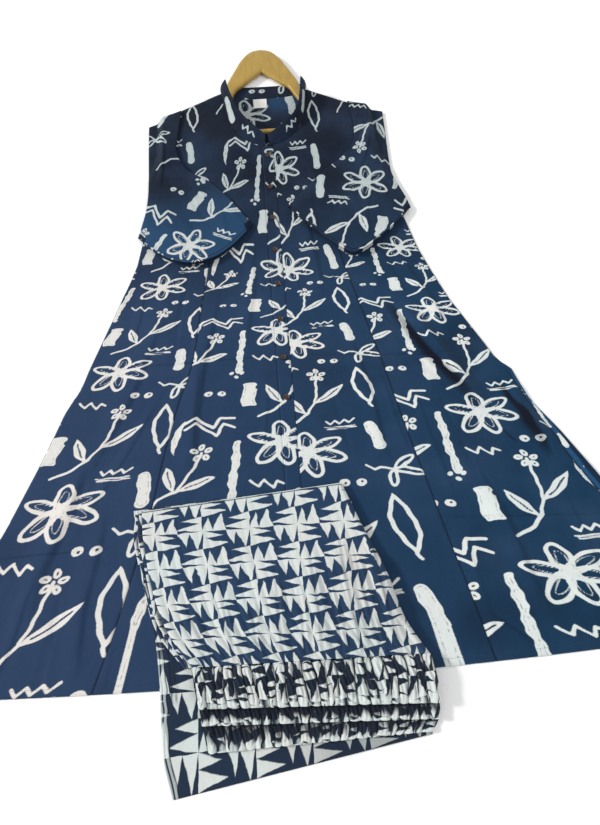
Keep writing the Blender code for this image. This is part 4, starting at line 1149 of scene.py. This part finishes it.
SLEEVE_FOLDS = {
    "left": [
        Fold(-0.205, 1.060, -0.215, 0.900, 0.0018, 0.012),
        Fold(-0.190, 0.960, -0.130, 0.880, -0.0016, 0.012),
        Fold(-0.230, 0.880, -0.150, 0.800, 0.0020, 0.016),
        Fold(-0.170, 0.900, -0.110, 0.800, -0.0014, 0.012),
        Fold(-0.215, 0.820, -0.120, 0.762, 0.0016, 0.013),
        Fold(-0.100, 0.870, -0.090, 0.790, 0.0014, 0.011),
    ],
    "right": [
        Fold(0.215, 1.060, 0.160, 0.960, -0.0022, 0.010),
        Fold(0.222, 1.040, 0.180, 0.930, 0.0020, 0.014),
        Fold(0.232, 0.960, 0.220, 0.840, 0.0018, 0.013),
        Fold(0.130, 0.940, 0.180, 0.800, 0.0018, 0.015),
        Fold(0.100, 0.880, 0.150, 0.780, -0.0014, 0.012),
        Fold(0.190, 0.870, 0.175, 0.760, 0.0016, 0.013),
    ],
}


def body_under(x, y):
    """Height of what a sleeve lies on: the front, or the surface beside it."""
    word = "left" if x.mean() < 0 else "right"
    edges = [(getattr(edge, word + "_y"), abs(getattr(edge, word))) for edge in SIDE_ROWS[10:]]
    edges += [(row.outer_y, abs(getattr(row, "outer_" + word[0]))) for row in FRONT_ROWS[13:]]
    reach = np.interp(y, [edge[0] for edge in edges], [edge[1] for edge in edges])
    return front_height(x, y) * (1 - smooth_step(*BODY_EDGE, np.abs(x) - reach))


def make_sleeve(word, table, cuff, flower, turned, size, painted_highlight):
    """A sleeve's lower and upper layer, joined round both folds and turned in at the cuff."""
    peak, roundness = cuff
    position = np.linspace(0, len(table) - 1, SLEEVE_COUNT)
    row = {name: read_smooth(table, name, position)[:, None] for name in Sleeve._fields}

    def layer(part, is_upper):
        x = row["outer_x"] + (row["inner_x"] - row["outer_x"]) * part
        y = row["outer_y"] + (row["inner_y"] - row["outer_y"]) * part
        away = (part - peak) / np.where(part < peak, peak, 1 - peak)
        y = y - row["sag"] * (1 - np.abs(away) ** roundness)
        rest = np.max([body_under(x + dx, y + dy) for dx in SLEEVE_REACH for dy in SLEEVE_REACH], axis=0)
        arch = np.sin(math.pi * np.clip(part, 0, 1)) ** SLEEVE_FULLNESS
        loft = FOLDED_EDGE + np.maximum(row["loft"] - FOLDED_EDGE, 0) * arch
        folds = (add_folds(x, y, SLEEVE_FOLDS[word]) + ripples(x, y, LOOSE_RIPPLE)) * arch
        z = rest + SLEEVE_CLEAR + (np.maximum(loft + folds, LEAST_LOFT) if is_upper else 0.0)
        return points_at(x, y, z)

    lower = layer(np.linspace(0, 1, UNDER_COLUMNS)[None, :], False)
    upper = layer(np.linspace(1, 0, UPPER_COLUMNS)[None, :], True)

    def turn_edge(start, end, outward):
        arc = np.radians((-60, -30, 0, 30, 60))[None, :, None]
        middle, half = (start + end)[:, None] / 2, (end - start)[:, None] / 2
        return middle + half * np.sin(arc) + outward[:, None] * FOLDED_EDGE / 2 * np.cos(arc)

    way = upper[:, 0] - upper[:, -1]
    way[:, 2] = 0
    way /= np.linalg.norm(way, axis=1)[:, None]
    inner_fold = turn_edge(lower[:, -1], upper[:, 0], way)
    outer_fold = turn_edge(upper[:, -1], lower[:, 0], -way)
    points = np.concatenate([lower, inner_fold, upper, outer_fold, lower[:, :1]], axis=1)
    middle_z = (points[..., 2].max(axis=1) + points[..., 2].min(axis=1))[:, None] / 2
    inset = np.sign(points[..., 2] - middle_z) * FACING_IN
    facing = points.copy()
    facing[..., 2] -= inset
    points = np.concatenate([points, facing[-1:], facing[-FACING_BACK:-FACING_BACK + 1]], axis=0)
    from_x, from_y = points[..., 0] - flower[0], points[..., 1] - flower[1]
    cosine, sine = math.cos(math.radians(turned)), math.sin(math.radians(turned))
    u = (from_x * cosine + from_y * sine) / size
    down = (from_x * sine - from_y * cosine) / size
    ink = print_at(u, down / TILE_HIGH)
    # The left sleeve's lower part is given a painted highlight. The under layer near the cuff, the facing
    # and a line at the facing's edge are given painted shade.
    to_cuff = np.linspace(0, 1, SLEEVE_COUNT + 2)[:, None]
    tone = painted_highlight * smooth_step(0.45, 0.95, to_cuff) * np.ones(points.shape[:2])
    tone[:, :UNDER_COLUMNS] = UNDER_SHADE * smooth_step(0.6, 0.9, to_cuff)
    tone[-2:] = FACING_SHADE
    tone[FACING_LINE:FACING_LINE + 1] -= 1.0
    facing_print = print_at(u * 1.7 + 0.05, down / TILE_HIGH * 1.7)
    ink[FACING_LINE + 1:] = facing_print[FACING_LINE + 1:]
    sleeve = lay_kurti("sleeve_%s_tube" % word, points, ink, "sleeve_" + word, tone, flip=True)
    weld(sleeve.data)
    return sleeve


left_sleeve = make_sleeve("left", SLEEVE_LEFT, (0.50, 2.0), (-0.158, 0.762), -30, 0.92, 0.75)
right_sleeve = make_sleeve("right", SLEEVE_RIGHT, (0.52, 1.35), (0.188, 0.893), 165, 0.96, 0.0)


# The neck label. A small blank tab of white tape, sewn flat inside the back neck.
LABEL_SIZE = (0.029, 0.027)
LABEL_MIDDLE = (-0.008, 1.1335)
LABEL_CURL = 0.0009
LABEL_REST = 0.0011
LABEL_WALL = 0.0007
LABEL_WHITES = ((0.80, 0.79, 0.75, 1), (0.88, 0.87, 0.84, 1))
LABEL_WHITE, label_shader, label_place = start_material("label_white")
label_threads, label_weave = woven(label_place)
end_material(label_place, label_shader,
             label_place.noise(120.0).mix(*LABEL_WHITES), label_weave * 0.05 + 0.7,
             label_weave, WEAVE_HEIGHT)
rise, part = even_grid(13, 15)
x = LABEL_MIDDLE[0] + LABEL_SIZE[0] * (part - 0.5)
y = LABEL_MIDDLE[1] + LABEL_SIZE[1] * (rise - 0.5)
lift = LABEL_CURL * (1 - (2 * part - 1) ** 2) * (1 - rise)
points = points_at(x, y, CLOTH + LABEL_REST + lift)
tab = lay_sheet("neck_tab", points, points[..., :2], {}, LABEL_WHITE)
thicken(tab, LABEL_WALL)
place_piece(tab, "neck_label")


# The hanger. An A-shaped hanger of smooth mustard-stained wood, cut from a board and
# rounded over, with a round bar between its ends. It has no hook.
Arm = namedtuple("Arm", "outer_x outer_y inner_x inner_y")
ARM_ROWS = [
    Arm(0.000, 1.290, 0.000, 1.221),
    Arm(0.022, 1.284, 0.012, 1.210),
    Arm(0.042, 1.260, 0.027, 1.196),
    Arm(0.058, 1.227, 0.042, 1.182),
    Arm(0.076, 1.186, 0.056, 1.169),
    Arm(0.0835, 1.154, 0.068, 1.144),
    Arm(0.104, 1.136, 0.082, 1.118),
    Arm(0.130, 1.121, 0.114, 1.097),
    Arm(0.161, 1.103, 0.150, 1.079),
    Arm(0.177, 1.080, 0.158, 1.064),
    Arm(0.177, 1.038, 0.158, 1.038),
]
HANGER_Z = 0.0016
HANGER_THICK = (0.012, 0.009)
HANGER_ROUND = 0.5
BAR_RADIUS = 0.005
BAR_Y = 1.047
BAR_Z = 0.0018
BAR_HALF = 0.1577
BAR_SHORT = 0.0003
BAR_SOFT = 0.0006
WOOD_BROWNS = ((0.340, 0.205, 0.034, 1), (0.460, 0.300, 0.052, 1))

HANGER_WOOD, wood_shader, wood_place = start_material("hanger_wood")
grain = wood_place.node("Mapping", {}, {"Vector": wood_place, "Scale": (60.0, 9.0, 60.0)})
stain = grain.noise(3.0, 5.0)
end_material(wood_place, wood_shader,
             (stain * 1.8 - 0.45).clamped().mix(*WOOD_BROWNS), stain * 0.16 + 0.30,
             grain.noise(9.0, 3.0), 0.00006)
wood_shader.inputs["Coat Weight"].default_value = 0.25
wood_shader.inputs["Coat Roughness"].default_value = 0.25

half_count = 70
position = np.linspace(0, len(ARM_ROWS) - 1, half_count)
arm = {name: read_smooth(ARM_ROWS, name, position) for name in Arm._fields}
turns = np.linspace(0, 2 * math.pi, 28, endpoint=False)
beside = np.sign(np.cos(turns)) * np.abs(np.cos(turns)) ** HANGER_ROUND
above = np.sign(np.sin(turns)) * np.abs(np.sin(turns)) ** HANGER_ROUND
sections = []
for mirror, order in ((-1, range(half_count - 1, 0, -1)), (1, range(half_count))):
    for step in order:
        outer = np.array((arm["outer_x"][step] * mirror, arm["outer_y"][step]))
        inner = np.array((arm["inner_x"][step] * mirror, arm["inner_y"][step]))
        taper = arm["outer_x"][step] / ARM_ROWS[-1].outer_x
        thick = HANGER_THICK[0] + (HANGER_THICK[1] - HANGER_THICK[0]) * min(taper, 1.0)
        flat = (outer + inner) / 2 + (inner - outer) / 2 * beside[:, None]
        height = HANGER_Z + thick / 2 * (1 + above)
        sections.append(np.column_stack([flat, height]))
points = np.concatenate(sections) - MIDDLE
count = len(turns)
faces = [(step * count + index, step * count + (index + 1) % count,
          (step + 1) * count + (index + 1) % count, (step + 1) * count + index)
         for step in range(len(sections) - 1) for index in range(count)]
faces += [tuple(range(count))[::-1], tuple(range(len(points) - count, len(points)))]
mesh = bpy.data.meshes.new("hanger_frame")
mesh.from_pydata(points.tolist(), [], faces)
shape = bmesh.new()
shape.from_mesh(mesh)
bmesh.ops.recalc_face_normals(shape, faces=shape.faces)
shape.to_mesh(mesh)
shape.free()
mesh.shade_smooth()
mesh.set_sharp_from_angle(angle=math.radians(50))
mesh.materials.append(HANGER_WOOD)
hanger = add_object("hanger_frame", mesh)

bpy.ops.object.select_all(action="DESELECT")
bpy.ops.mesh.primitive_cylinder_add(vertices=32, radius=BAR_RADIUS, depth=2 * (BAR_HALF - BAR_SHORT))
bar = bpy.context.object
bar.name = "hanger_rod"
soften(bar, BAR_SOFT)
bar.data.transform(Matrix.Translation((-MIDDLE_X, BAR_Y - MIDDLE_Y, BAR_Z + BAR_RADIUS))
                   @ Matrix.Rotation(math.pi / 2, 4, "Y"))
bar.data.shade_smooth()
bar.data.set_sharp_from_angle(angle=math.radians(40))
bar.data.materials.append(HANGER_WOOD)
place_piece(hanger, "hanger")
place_piece(bar, "hanger_bar")


# The palazzo trousers, folded on the skirt. The cotton is printed all over with navy
# and off-white spikes that turn about the corners of their blocks. The lowest leg
# lies on the skirt and past its hem. Folded layers lie on it, then the upper leg.
Layer = namedtuple("Layer", "left_x left_y right_x right_y top pleat")
PALAZZO_TOP = [
    Layer(-0.2360, 0.2640, 0.0740, 0.2860, 0.0062, 0.0000),
    Layer(-0.2355, 0.2605, 0.0770, 0.2820, 0.0108, 0.0002),
    Layer(-0.2350, 0.2540, 0.0800, 0.2740, 0.0134, 0.0003),
    Layer(-0.2320, 0.2150, 0.1020, 0.2120, 0.0140, 0.0006),
    Layer(-0.2180, 0.1450, 0.1280, 0.1460, 0.0146, 0.0011),
    Layer(-0.1960, 0.0850, 0.1460, 0.0780, 0.0156, 0.0018),
    Layer(-0.1600, 0.0340, 0.1740, 0.0270, 0.0166, 0.0010),
]
Leg = namedtuple("Leg", "left_x left_y right_x right_y")
PALAZZO_LEG = [
    Leg(-0.2500, 0.2660, 0.0760, 0.2850),
    Leg(-0.2420, 0.2050, 0.1030, 0.2080),
    Leg(-0.2300, 0.1400, 0.1280, 0.1450),
    Leg(-0.2150, 0.0800, 0.1450, 0.0800),
    Leg(-0.2080, 0.0260, 0.1640, 0.0260),
    Leg(-0.2060, 0.0040, 0.1660, 0.0040),
    Leg(-0.2050, -0.0180, 0.1680, -0.0180),
    Leg(-0.2040, -0.0400, 0.1690, -0.0370),
    Leg(-0.2000, -0.0800, 0.1670, -0.0570),
    Leg(-0.1880, -0.1240, 0.1620, -0.0740),
]
PALAZZO_REST = 0.0033
LEG_WIDE = 0.34
TOP_WIDE = 0.33
LOWER_GAPS = (0.0036, 0.0090)
UPPER_GAPS = (0.0150, 0.0215)
HEM_STEP = (-0.018, 0.001)
LEG_CLEAR = 0.0012
PLAIN_EDGE = (0.0080, 0.0088)
EDGE_WANDER = 0.0006
LEG_ROLL = (0.0004, 0.002)
LEFT_ROLL = (0.0100, 0.0025)
RIGHT_ROLL = (0.0070, 0.0085)
LOWER_SHADE = 0.6
CELL_HIGH = 0.0258
SPIKE_SPLIT = 0.44
SPIKE_LEAN = 0.60
SPIKE_SHORT = 0.80
GATHERS = 24
GATHER_UNEVEN = 0.22
GATHER_BEATS = (2.3, 0.71)
PALAZZO_NAVY = (0.0110, 0.0360, 0.086, 1)
PALAZZO_DEEP = (0.0040, 0.0080, 0.018, 1)
PALAZZO_MINT = (0.590, 0.660, 0.640, 1)
PALAZZO_WARM = (0.650, 0.640, 0.610, 1)
# HEM_NAVY is darker than the leg's navy, as painted shade on the lowest leg.
HEM_NAVY = (0.0080, 0.0200, 0.046, 1)
PALAZZO_FOLDS = [
    Fold(0.140, 0.020, 0.108, 0.235, 0.0042, 0.011),
    Fold(0.112, 0.020, 0.086, 0.175, 0.0036, 0.009),
    Fold(0.084, 0.022, 0.066, 0.205, 0.0038, 0.010),
    Fold(0.056, 0.022, 0.044, 0.140, 0.0030, 0.008),
    Fold(0.030, 0.024, 0.022, 0.180, 0.0032, 0.010),
    Fold(0.004, 0.024, 0.000, 0.125, 0.0024, 0.008),
    Fold(-0.026, 0.026, -0.034, 0.160, 0.0026, 0.010),
    Fold(-0.060, 0.028, -0.070, 0.115, 0.0022, 0.009),
    Fold(-0.094, 0.030, -0.112, 0.135, 0.0024, 0.010),
    Fold(-0.130, 0.032, -0.158, 0.110, 0.0020, 0.010),
]


Pinwheel = namedtuple("Pinwheel", "name cell_wide cell_high waver fullness navy")


def pinwheel_cotton(cotton):
    """Two spikes stand on one side of each cell, and each next cell is turned by a
    quarter. A tone below nought is plain off-white, and above it deep shade."""
    material, shader, place = start_material(cotton.name)
    tone = place.field("tone")
    threads, weave = woven(place)
    cut_x, cut_y = threads.x_and_y()
    hand = (place.noise(45.0, 2.0) - 0.5) * cotton.waver
    across = cut_x * (1 / cotton.cell_wide) + hand
    down = cut_y * (1 / cotton.cell_high) - hand
    side, depth = across.sum("FRACT", across), down.sum("FRACT", down)
    on_right = across.sum("GREATER_THAN", across.sum("FRACT", across * 0.5), 0.5)
    on_lower = across.sum("GREATER_THAN", across.sum("FRACT", down * 0.5), 0.5)
    sideways = 1 - abs(on_right - on_lower)
    from_base = abs(on_lower - depth) + sideways * (abs(on_right - side) - abs(on_lower - depth))
    along_base = side + sideways * (depth - side)
    second = across.sum("GREATER_THAN", along_base, SPIKE_SPLIT)
    start = second * SPIKE_SPLIT
    share = (along_base - start) / (SPIKE_SPLIT + second * (1 - 2 * SPIKE_SPLIT))
    slope = across.sum("MINIMUM", share / SPIKE_LEAN, (1.0 - share) / (1 - SPIKE_LEAN))
    spikes = slope * (SPIKE_SHORT + second * (1.02 - SPIKE_SHORT)) - from_base
    ragged = place.noise(700.0, 3.0)
    cover = (spikes * 9.0 + (ragged - 0.5) * 1.2 + cotton.fullness).clamped()
    slub = slubbed(threads)
    pale = (place.noise(9.0) * 2.0 - 0.6).clamped().mix(PALAZZO_MINT, PALAZZO_WARM)
    colour = (cover * (0.86 + slub * 0.2).clamped()).mix(cotton.navy, pale)
    colour = (0 - tone).clamped().mix(colour, PALAZZO_MINT)
    colour = tone.clamped().mix(colour, PALAZZO_DEEP)
    crumple = abs(place.noise(30.0, 4.0) - 0.5) * 22.0 + place.noise(110.0) * 3.5
    relief = weave * 0.35 + slub * 0.8 + crumple
    end_material(place, shader, colour, 0.88 - cover * 0.06, relief, WEAVE_HEIGHT)
    shader.inputs["Sheen Weight"].default_value = 0.1
    shader.inputs["Specular IOR Level"].default_value = 0.25
    return material


LEG_COTTON = pinwheel_cotton(Pinwheel("leg_cotton", 0.0360, CELL_HIGH, 0.30, 1.2, PALAZZO_NAVY))
HEM_COTTON = pinwheel_cotton(Pinwheel("hem_cotton", 0.0385, 0.0340, 0.12, 0.4, HEM_NAVY))


def lay_palazzo(name, node, points, cut, finish, tone):
    sheet = lay_sheet(name, points, cut, {"tone": tone}, finish, flip=True)
    place_piece(sheet, node)
    return sheet


def across_rows(table, rows, part):
    """Points across a table's rows, and their places on the cut cloth."""
    row = {name: read_smooth(table, name, rows)[:, None] for name in table[0]._fields[:4]}
    x = row["left_x"] + (row["right_x"] - row["left_x"]) * part
    y = row["left_y"] + (row["right_y"] - row["left_y"]) * part
    middle_y = (row["left_y"] + row["right_y"]) / 2
    return x, y, np.stack(np.broadcast_arrays(x, middle_y[0] - middle_y), axis=-1)


def gather_wave(part, fullness=2.0):
    """Crests and troughs along a gathered edge, of uneven height."""
    position = part * 2 * GATHERS
    crest = 2 * np.floor(position / 2) + 1
    uneven = np.sin(crest * GATHER_BEATS[0]) * np.sin(crest * GATHER_BEATS[1] + 1.0)
    high = 1 - GATHER_UNEVEN * (1 - uneven)
    return high * (1 - np.abs(position - crest) ** fullness)


def step_at_gathers(part, steps):
    """A place that jumps by one step at each trough, where the cloth is tucked in."""
    total = np.zeros(part.shape)
    for trough, step in enumerate(steps):
        total += step * smooth_step(trough - 0.10, trough + 0.10, part * GATHERS)
    return total


rows = np.linspace(0, len(PALAZZO_LEG) - 1, 160)
part = np.concatenate([np.linspace(0, 0.045, 24, endpoint=False), np.linspace(0.045, 1, 126)])[None, :]
leg_x, leg_y, leg_cut = across_rows(PALAZZO_LEG, rows, part)
leg_rest = PALAZZO_REST * np.clip((leg_y - HEM_STEP[0]) / (HEM_STEP[1] - HEM_STEP[0]), 0, 1)
past_hem = 1 - smooth_step(-0.03, 0.0, leg_y)
leg_z = leg_rest + LEG_CLEAR + (LEG_CLEAR + ripples(leg_x, leg_y, LOOSE_RIPPLE)) * past_hem
from_left = part * LEG_WIDE + EDGE_WANDER * np.sin(rows * 5.0)[:, None]
# Higher up, the left edge is plain off-white. Painted shade: thin dark lines over grooves between the
# layered edges at the left, the part past the kurti's hem towards the right, and the cloth under the
# waist.
leg_tone = smooth_step(*PLAIN_EDGE, from_left) - 1
for gap in LOWER_GAPS:
    leg_tone = leg_tone + 1.7 * close_to(from_left - gap, 0.0009)
    leg_z = leg_z - 0.0006 * close_to(from_left - gap, 0.0010)
leg_tone = leg_tone * smooth_step(3.0, 4.0, rows)[:, None]
above_hem = smooth_step(2.0, 3.0, rows) * (1 - smooth_step(5.0, 6.2, rows))
for gap in UPPER_GAPS:
    leg_tone = leg_tone + 1.5 * above_hem[:, None] * close_to(from_left - gap, 0.0011)
leg_tone = leg_tone + 0.75 * smooth_step(0.30, 0.75, part) * past_hem
under_waist = smooth_step(4.6, 5.4, rows) * (1 - smooth_step(7.2, 7.8, rows))
leg_tone = leg_tone + 1.6 * smooth_step(0.20, 0.26, part) * under_waist[:, None]
from_side = np.minimum(part, 1 - part) * LEG_WIDE
leg_z = roll_under(leg_z, np.minimum(from_side, (rows[-1] - rows[:, None]) * 0.03), *LEG_ROLL)
lower_leg = lay_palazzo("palazzo_lower_leg", "palazzo_leg_lower", points_at(leg_x, leg_y, leg_z),
                        leg_cut, HEM_COTTON, leg_tone * LOWER_SHADE)

# Only the rolled edge of each folded layer is in the light; the rest of each layer is painted deep shade.
HiddenLayer = namedtuple("HiddenLayer", "inset drop")
HIDDEN_LAYERS = (HiddenLayer(-0.0120, 0.0062), HiddenLayer(-0.0082, 0.0032), HiddenLayer(-0.0042, 0.0))
LAYER_BELOW = 0.0018
LAYER_ROUND = 0.0013
rows = np.linspace(1.2, 6.0, 150)
x, y = across_rows(PALAZZO_TOP, rows, np.zeros((1, 1)))[:2]
turn = np.radians(np.linspace(-80, 90, 9))[None, :]
layers = []
for inset, drop in HIDDEN_LAYERS:
    ceiling = read_smooth(PALAZZO_TOP, "top", rows)[:, None] - LAYER_BELOW - drop
    wander = 0.0016 * np.sin(rows * 3.1 + inset * 900)[:, None]
    edge_x = x + inset + wander - LAYER_ROUND * np.cos(turn)
    edge_z = ceiling - LAYER_ROUND + LAYER_ROUND * np.sin(turn)
    inner_x = x + inset + np.linspace(0.002, 0.05, 12)[None, :]
    layer_x = np.hstack([edge_x, inner_x])
    layer_z = np.hstack([edge_z, np.repeat(ceiling, inner_x.shape[1], axis=1)])
    points = points_at(layer_x, y, layer_z)
    cut = np.stack([layer_x * 1.3 + inset * 3, -points[..., 1]], axis=-1)
    shade = {"tone": 0.9 * smooth_step(0.0022, 0.0040, layer_x - layer_x[:, :1])}
    layers.append(lay_sheet("palazzo_layer_%d" % len(layers), points, cut, shade, LEG_COTTON, flip=True))
bpy.ops.object.select_all(action="DESELECT")
for layer in layers:
    layer.select_set(True)
bpy.context.view_layer.objects.active = layers[0]
bpy.ops.object.join()
folded = bpy.context.object
folded.name = "palazzo_folded_layers"
place_piece(folded, "palazzo_layers")

rows = np.linspace(0, 6, 180)
part = np.linspace(0, 1, 300)[None, :]
top_x, top_y, top_cut = across_rows(PALAZZO_TOP, rows, part)
top_z = read_smooth(PALAZZO_TOP, "top", rows)[:, None]
pleat = read_smooth(PALAZZO_TOP, "pleat", rows)[:, None]
top_z = top_z + pleat * (gather_wave(part) * 1.25 - 0.2)
top_z += ripples(top_x, top_y, RIPPLE) * smooth_step(1, 2.5, rows)[:, None]
top_z += add_folds(top_x, top_y, PALAZZO_FOLDS)
# Painted shade in the crevices of the gathers near the waist and beside the folds. The top edge is painted
# plain off-white, with a dark line just below it.
near_waist = smooth_step(4.6, 6.0, rows)[:, None]
top_tone = near_waist * (1 - gather_wave(part, 4.0) - 0.25).clip(0, 1)
top_tone = top_tone * (0.4 + 0.6 * np.sin(part * 31) * np.sin(part * 13 + 1))
top_tone = top_tone + 0.45 * add_folds(top_x + 0.006, top_y, PALAZZO_FOLDS) / 0.004
from_top = top_y[:1] - top_y
top_tone = top_tone - 0.9 * (1 - smooth_step(0.0012, 0.0020, from_top))
top_tone = top_tone + 1.1 * close_to(from_top - 0.0036, 0.0010)
top_cut[..., 0] -= (top_x[:, :1] - top_x[:1, :1]) * (1 - part) ** 1.5
top_z = roll_under(top_z, (1 - part) * TOP_WIDE, *RIGHT_ROLL)
top_z = roll_under(top_z, part * TOP_WIDE, *LEFT_ROLL)
upper_leg = lay_palazzo("palazzo_upper_leg", "palazzo_leg_upper", points_at(top_x, top_y, top_z),
                        top_cut, LEG_COTTON, top_tone)


# The waist. A casing of the same cotton over wide elastic, gathered tight by rows of
# stitching. Folded, it shows three edges, one below another, towards the viewer.
Casing = namedtuple("Casing", "left_x left_y right_x right_y puff front middle back")
CASING_ROWS = [
    Casing(-0.1600, 0.0337, 0.1740, 0.0267, 0.0012, 0.0158, None, None),
    Casing(-0.1580, 0.0210, 0.1760, 0.0120, 0.0034, 0.0192, None, None),
    Casing(-0.1550, 0.0020, 0.1770, -0.0120, 0.0036, 0.0186, 0.0092, None),
    Casing(-0.1510, -0.0190, 0.1765, -0.0365, 0.0034, 0.0148, 0.0088, 0.0046),
    Casing(-0.1480, -0.0400, 0.1730, -0.0560, 0.0030, None, 0.0078, 0.0034),
    Casing(-0.1410, -0.0740, 0.1620, -0.0705, 0.0024, None, None, 0.0040),
]
BAND_NAVY = (0.0060, 0.0150, 0.030, 1)
BAND_COTTON = pinwheel_cotton(Pinwheel("band_cotton", 0.0340, CELL_HIGH, 0.55, 0.9, BAND_NAVY))
GATHERED = 1.9
TUCKED = (GATHERED - 1) * TOP_WIDE / GATHERS
ROLL_DEEP = 0.0065
ROLL_RISE = 0.0010
SCALLOP_LOW = 0.0026
SCALLOP_TOP = 0.0035
PUCKER = 0.30
Edge = namedtuple("Edge", "name beat shaded flat_area")
EDGES = [Edge("front", 2.3, 0.0, 0.025), Edge("middle", 3.1, 1.5, 0.020), Edge("back", 1.7, 0.9, 0.020)]

for edge in EDGES:
    table = [row for row in CASING_ROWS if getattr(row, edge.name) is not None]
    rows = np.linspace(0, len(table) - 1, 36)
    down_band = (rows / rows[-1])[:, None]
    part = np.linspace(0, 1, 400)[None, :]
    x, y, cut = across_rows(table, rows, part)
    high = read_smooth(table, edge.name, rows)[:, None]
    puff = read_smooth(table, "puff", rows)[:, None]
    lean = part + 0.006 * np.sin(down_band * 4 + part * 23 + edge.beat) + 0.004 * np.sin(part * 61)
    held = np.clip(lean, 0, 1)
    wave = gather_wave(held, 3.0)
    seam = np.sin(down_band * math.pi)
    pucker = np.sin(part * 310 + 3 * np.sin(down_band * 6.0) + 2.0 * np.sin(part * 29) + edge.beat)
    z = high + puff * (wave + PUCKER * pucker * seam)
    beats = np.arange(GATHERS) * edge.beat
    cut[..., 0] += step_at_gathers(lean, TUCKED * (1 + 0.6 * np.sin(beats)))
    cut[..., 1] += step_at_gathers(lean, 0.007 * np.sin(beats * 1.9 + 1))
    # Painted shade in the crevices between the gathers, in the troughs of the puckers and under the band
    # above. The rolled lower edge is painted paler in patches.
    crevice = (1 - gather_wave(held, 5.0) - 0.28).clip(0, 1) * 2.0
    tone = crevice * (0.60 + 0.40 * np.cos(down_band * math.pi) ** 2)
    tone = tone + 1.6 * (-pucker - 0.62).clip(0, 1) * swell(part * 47 + down_band * 5)
    under = 1 - smooth_step(0.60, 0.86, down_band + 0.06 * np.sin(part * 90 + edge.beat))
    tone = tone + edge.shaded * under * (1 - 0.45 * part)
    rolled = smooth_step(0.80, 0.88, down_band + 0.03 * np.sin(part * 170 + edge.beat))
    tone = tone * (1 - 0.5 * rolled) - 0.85 * rolled * swell(part * 130 + edge.beat * 3)
    z = z + ROLL_RISE * rolled
    scallop = gather_wave(held) - 0.6
    y = y - SCALLOP_LOW * scallop * swell(part * 37 + edge.beat) * smooth_step(0.70, 1.0, down_band)
    if edge.name == "front":
        y = y + SCALLOP_TOP * scallop * (1 - smooth_step(0.0, 0.25, down_band))
    tuck_y = y[-1:] + np.array((0.0010, 0.0045))[:, None]
    tuck_z = z[-1:] - np.array((0.0030, ROLL_DEEP))[:, None]
    x = np.vstack([x, x[-1:], x[-1:]])
    y = np.vstack([y, tuck_y])
    z = np.maximum(np.vstack([z, tuck_z]), 0.0004)
    cut = np.vstack([cut, cut[-1:], cut[-1:]])
    # The tucked-under rows carry painted shade, the dark gap below each band.
    tuck_tone = 0.45 + 0.55 * np.sin(part * 57 + edge.beat * 5)
    tone = np.vstack([tone, tone[-1:], tuck_tone])
    band = lay_palazzo("waist_%s_band" % edge.name, "waistband_" + edge.name, points_at(x, y, z),
                       cut, BAND_COTTON, tone)
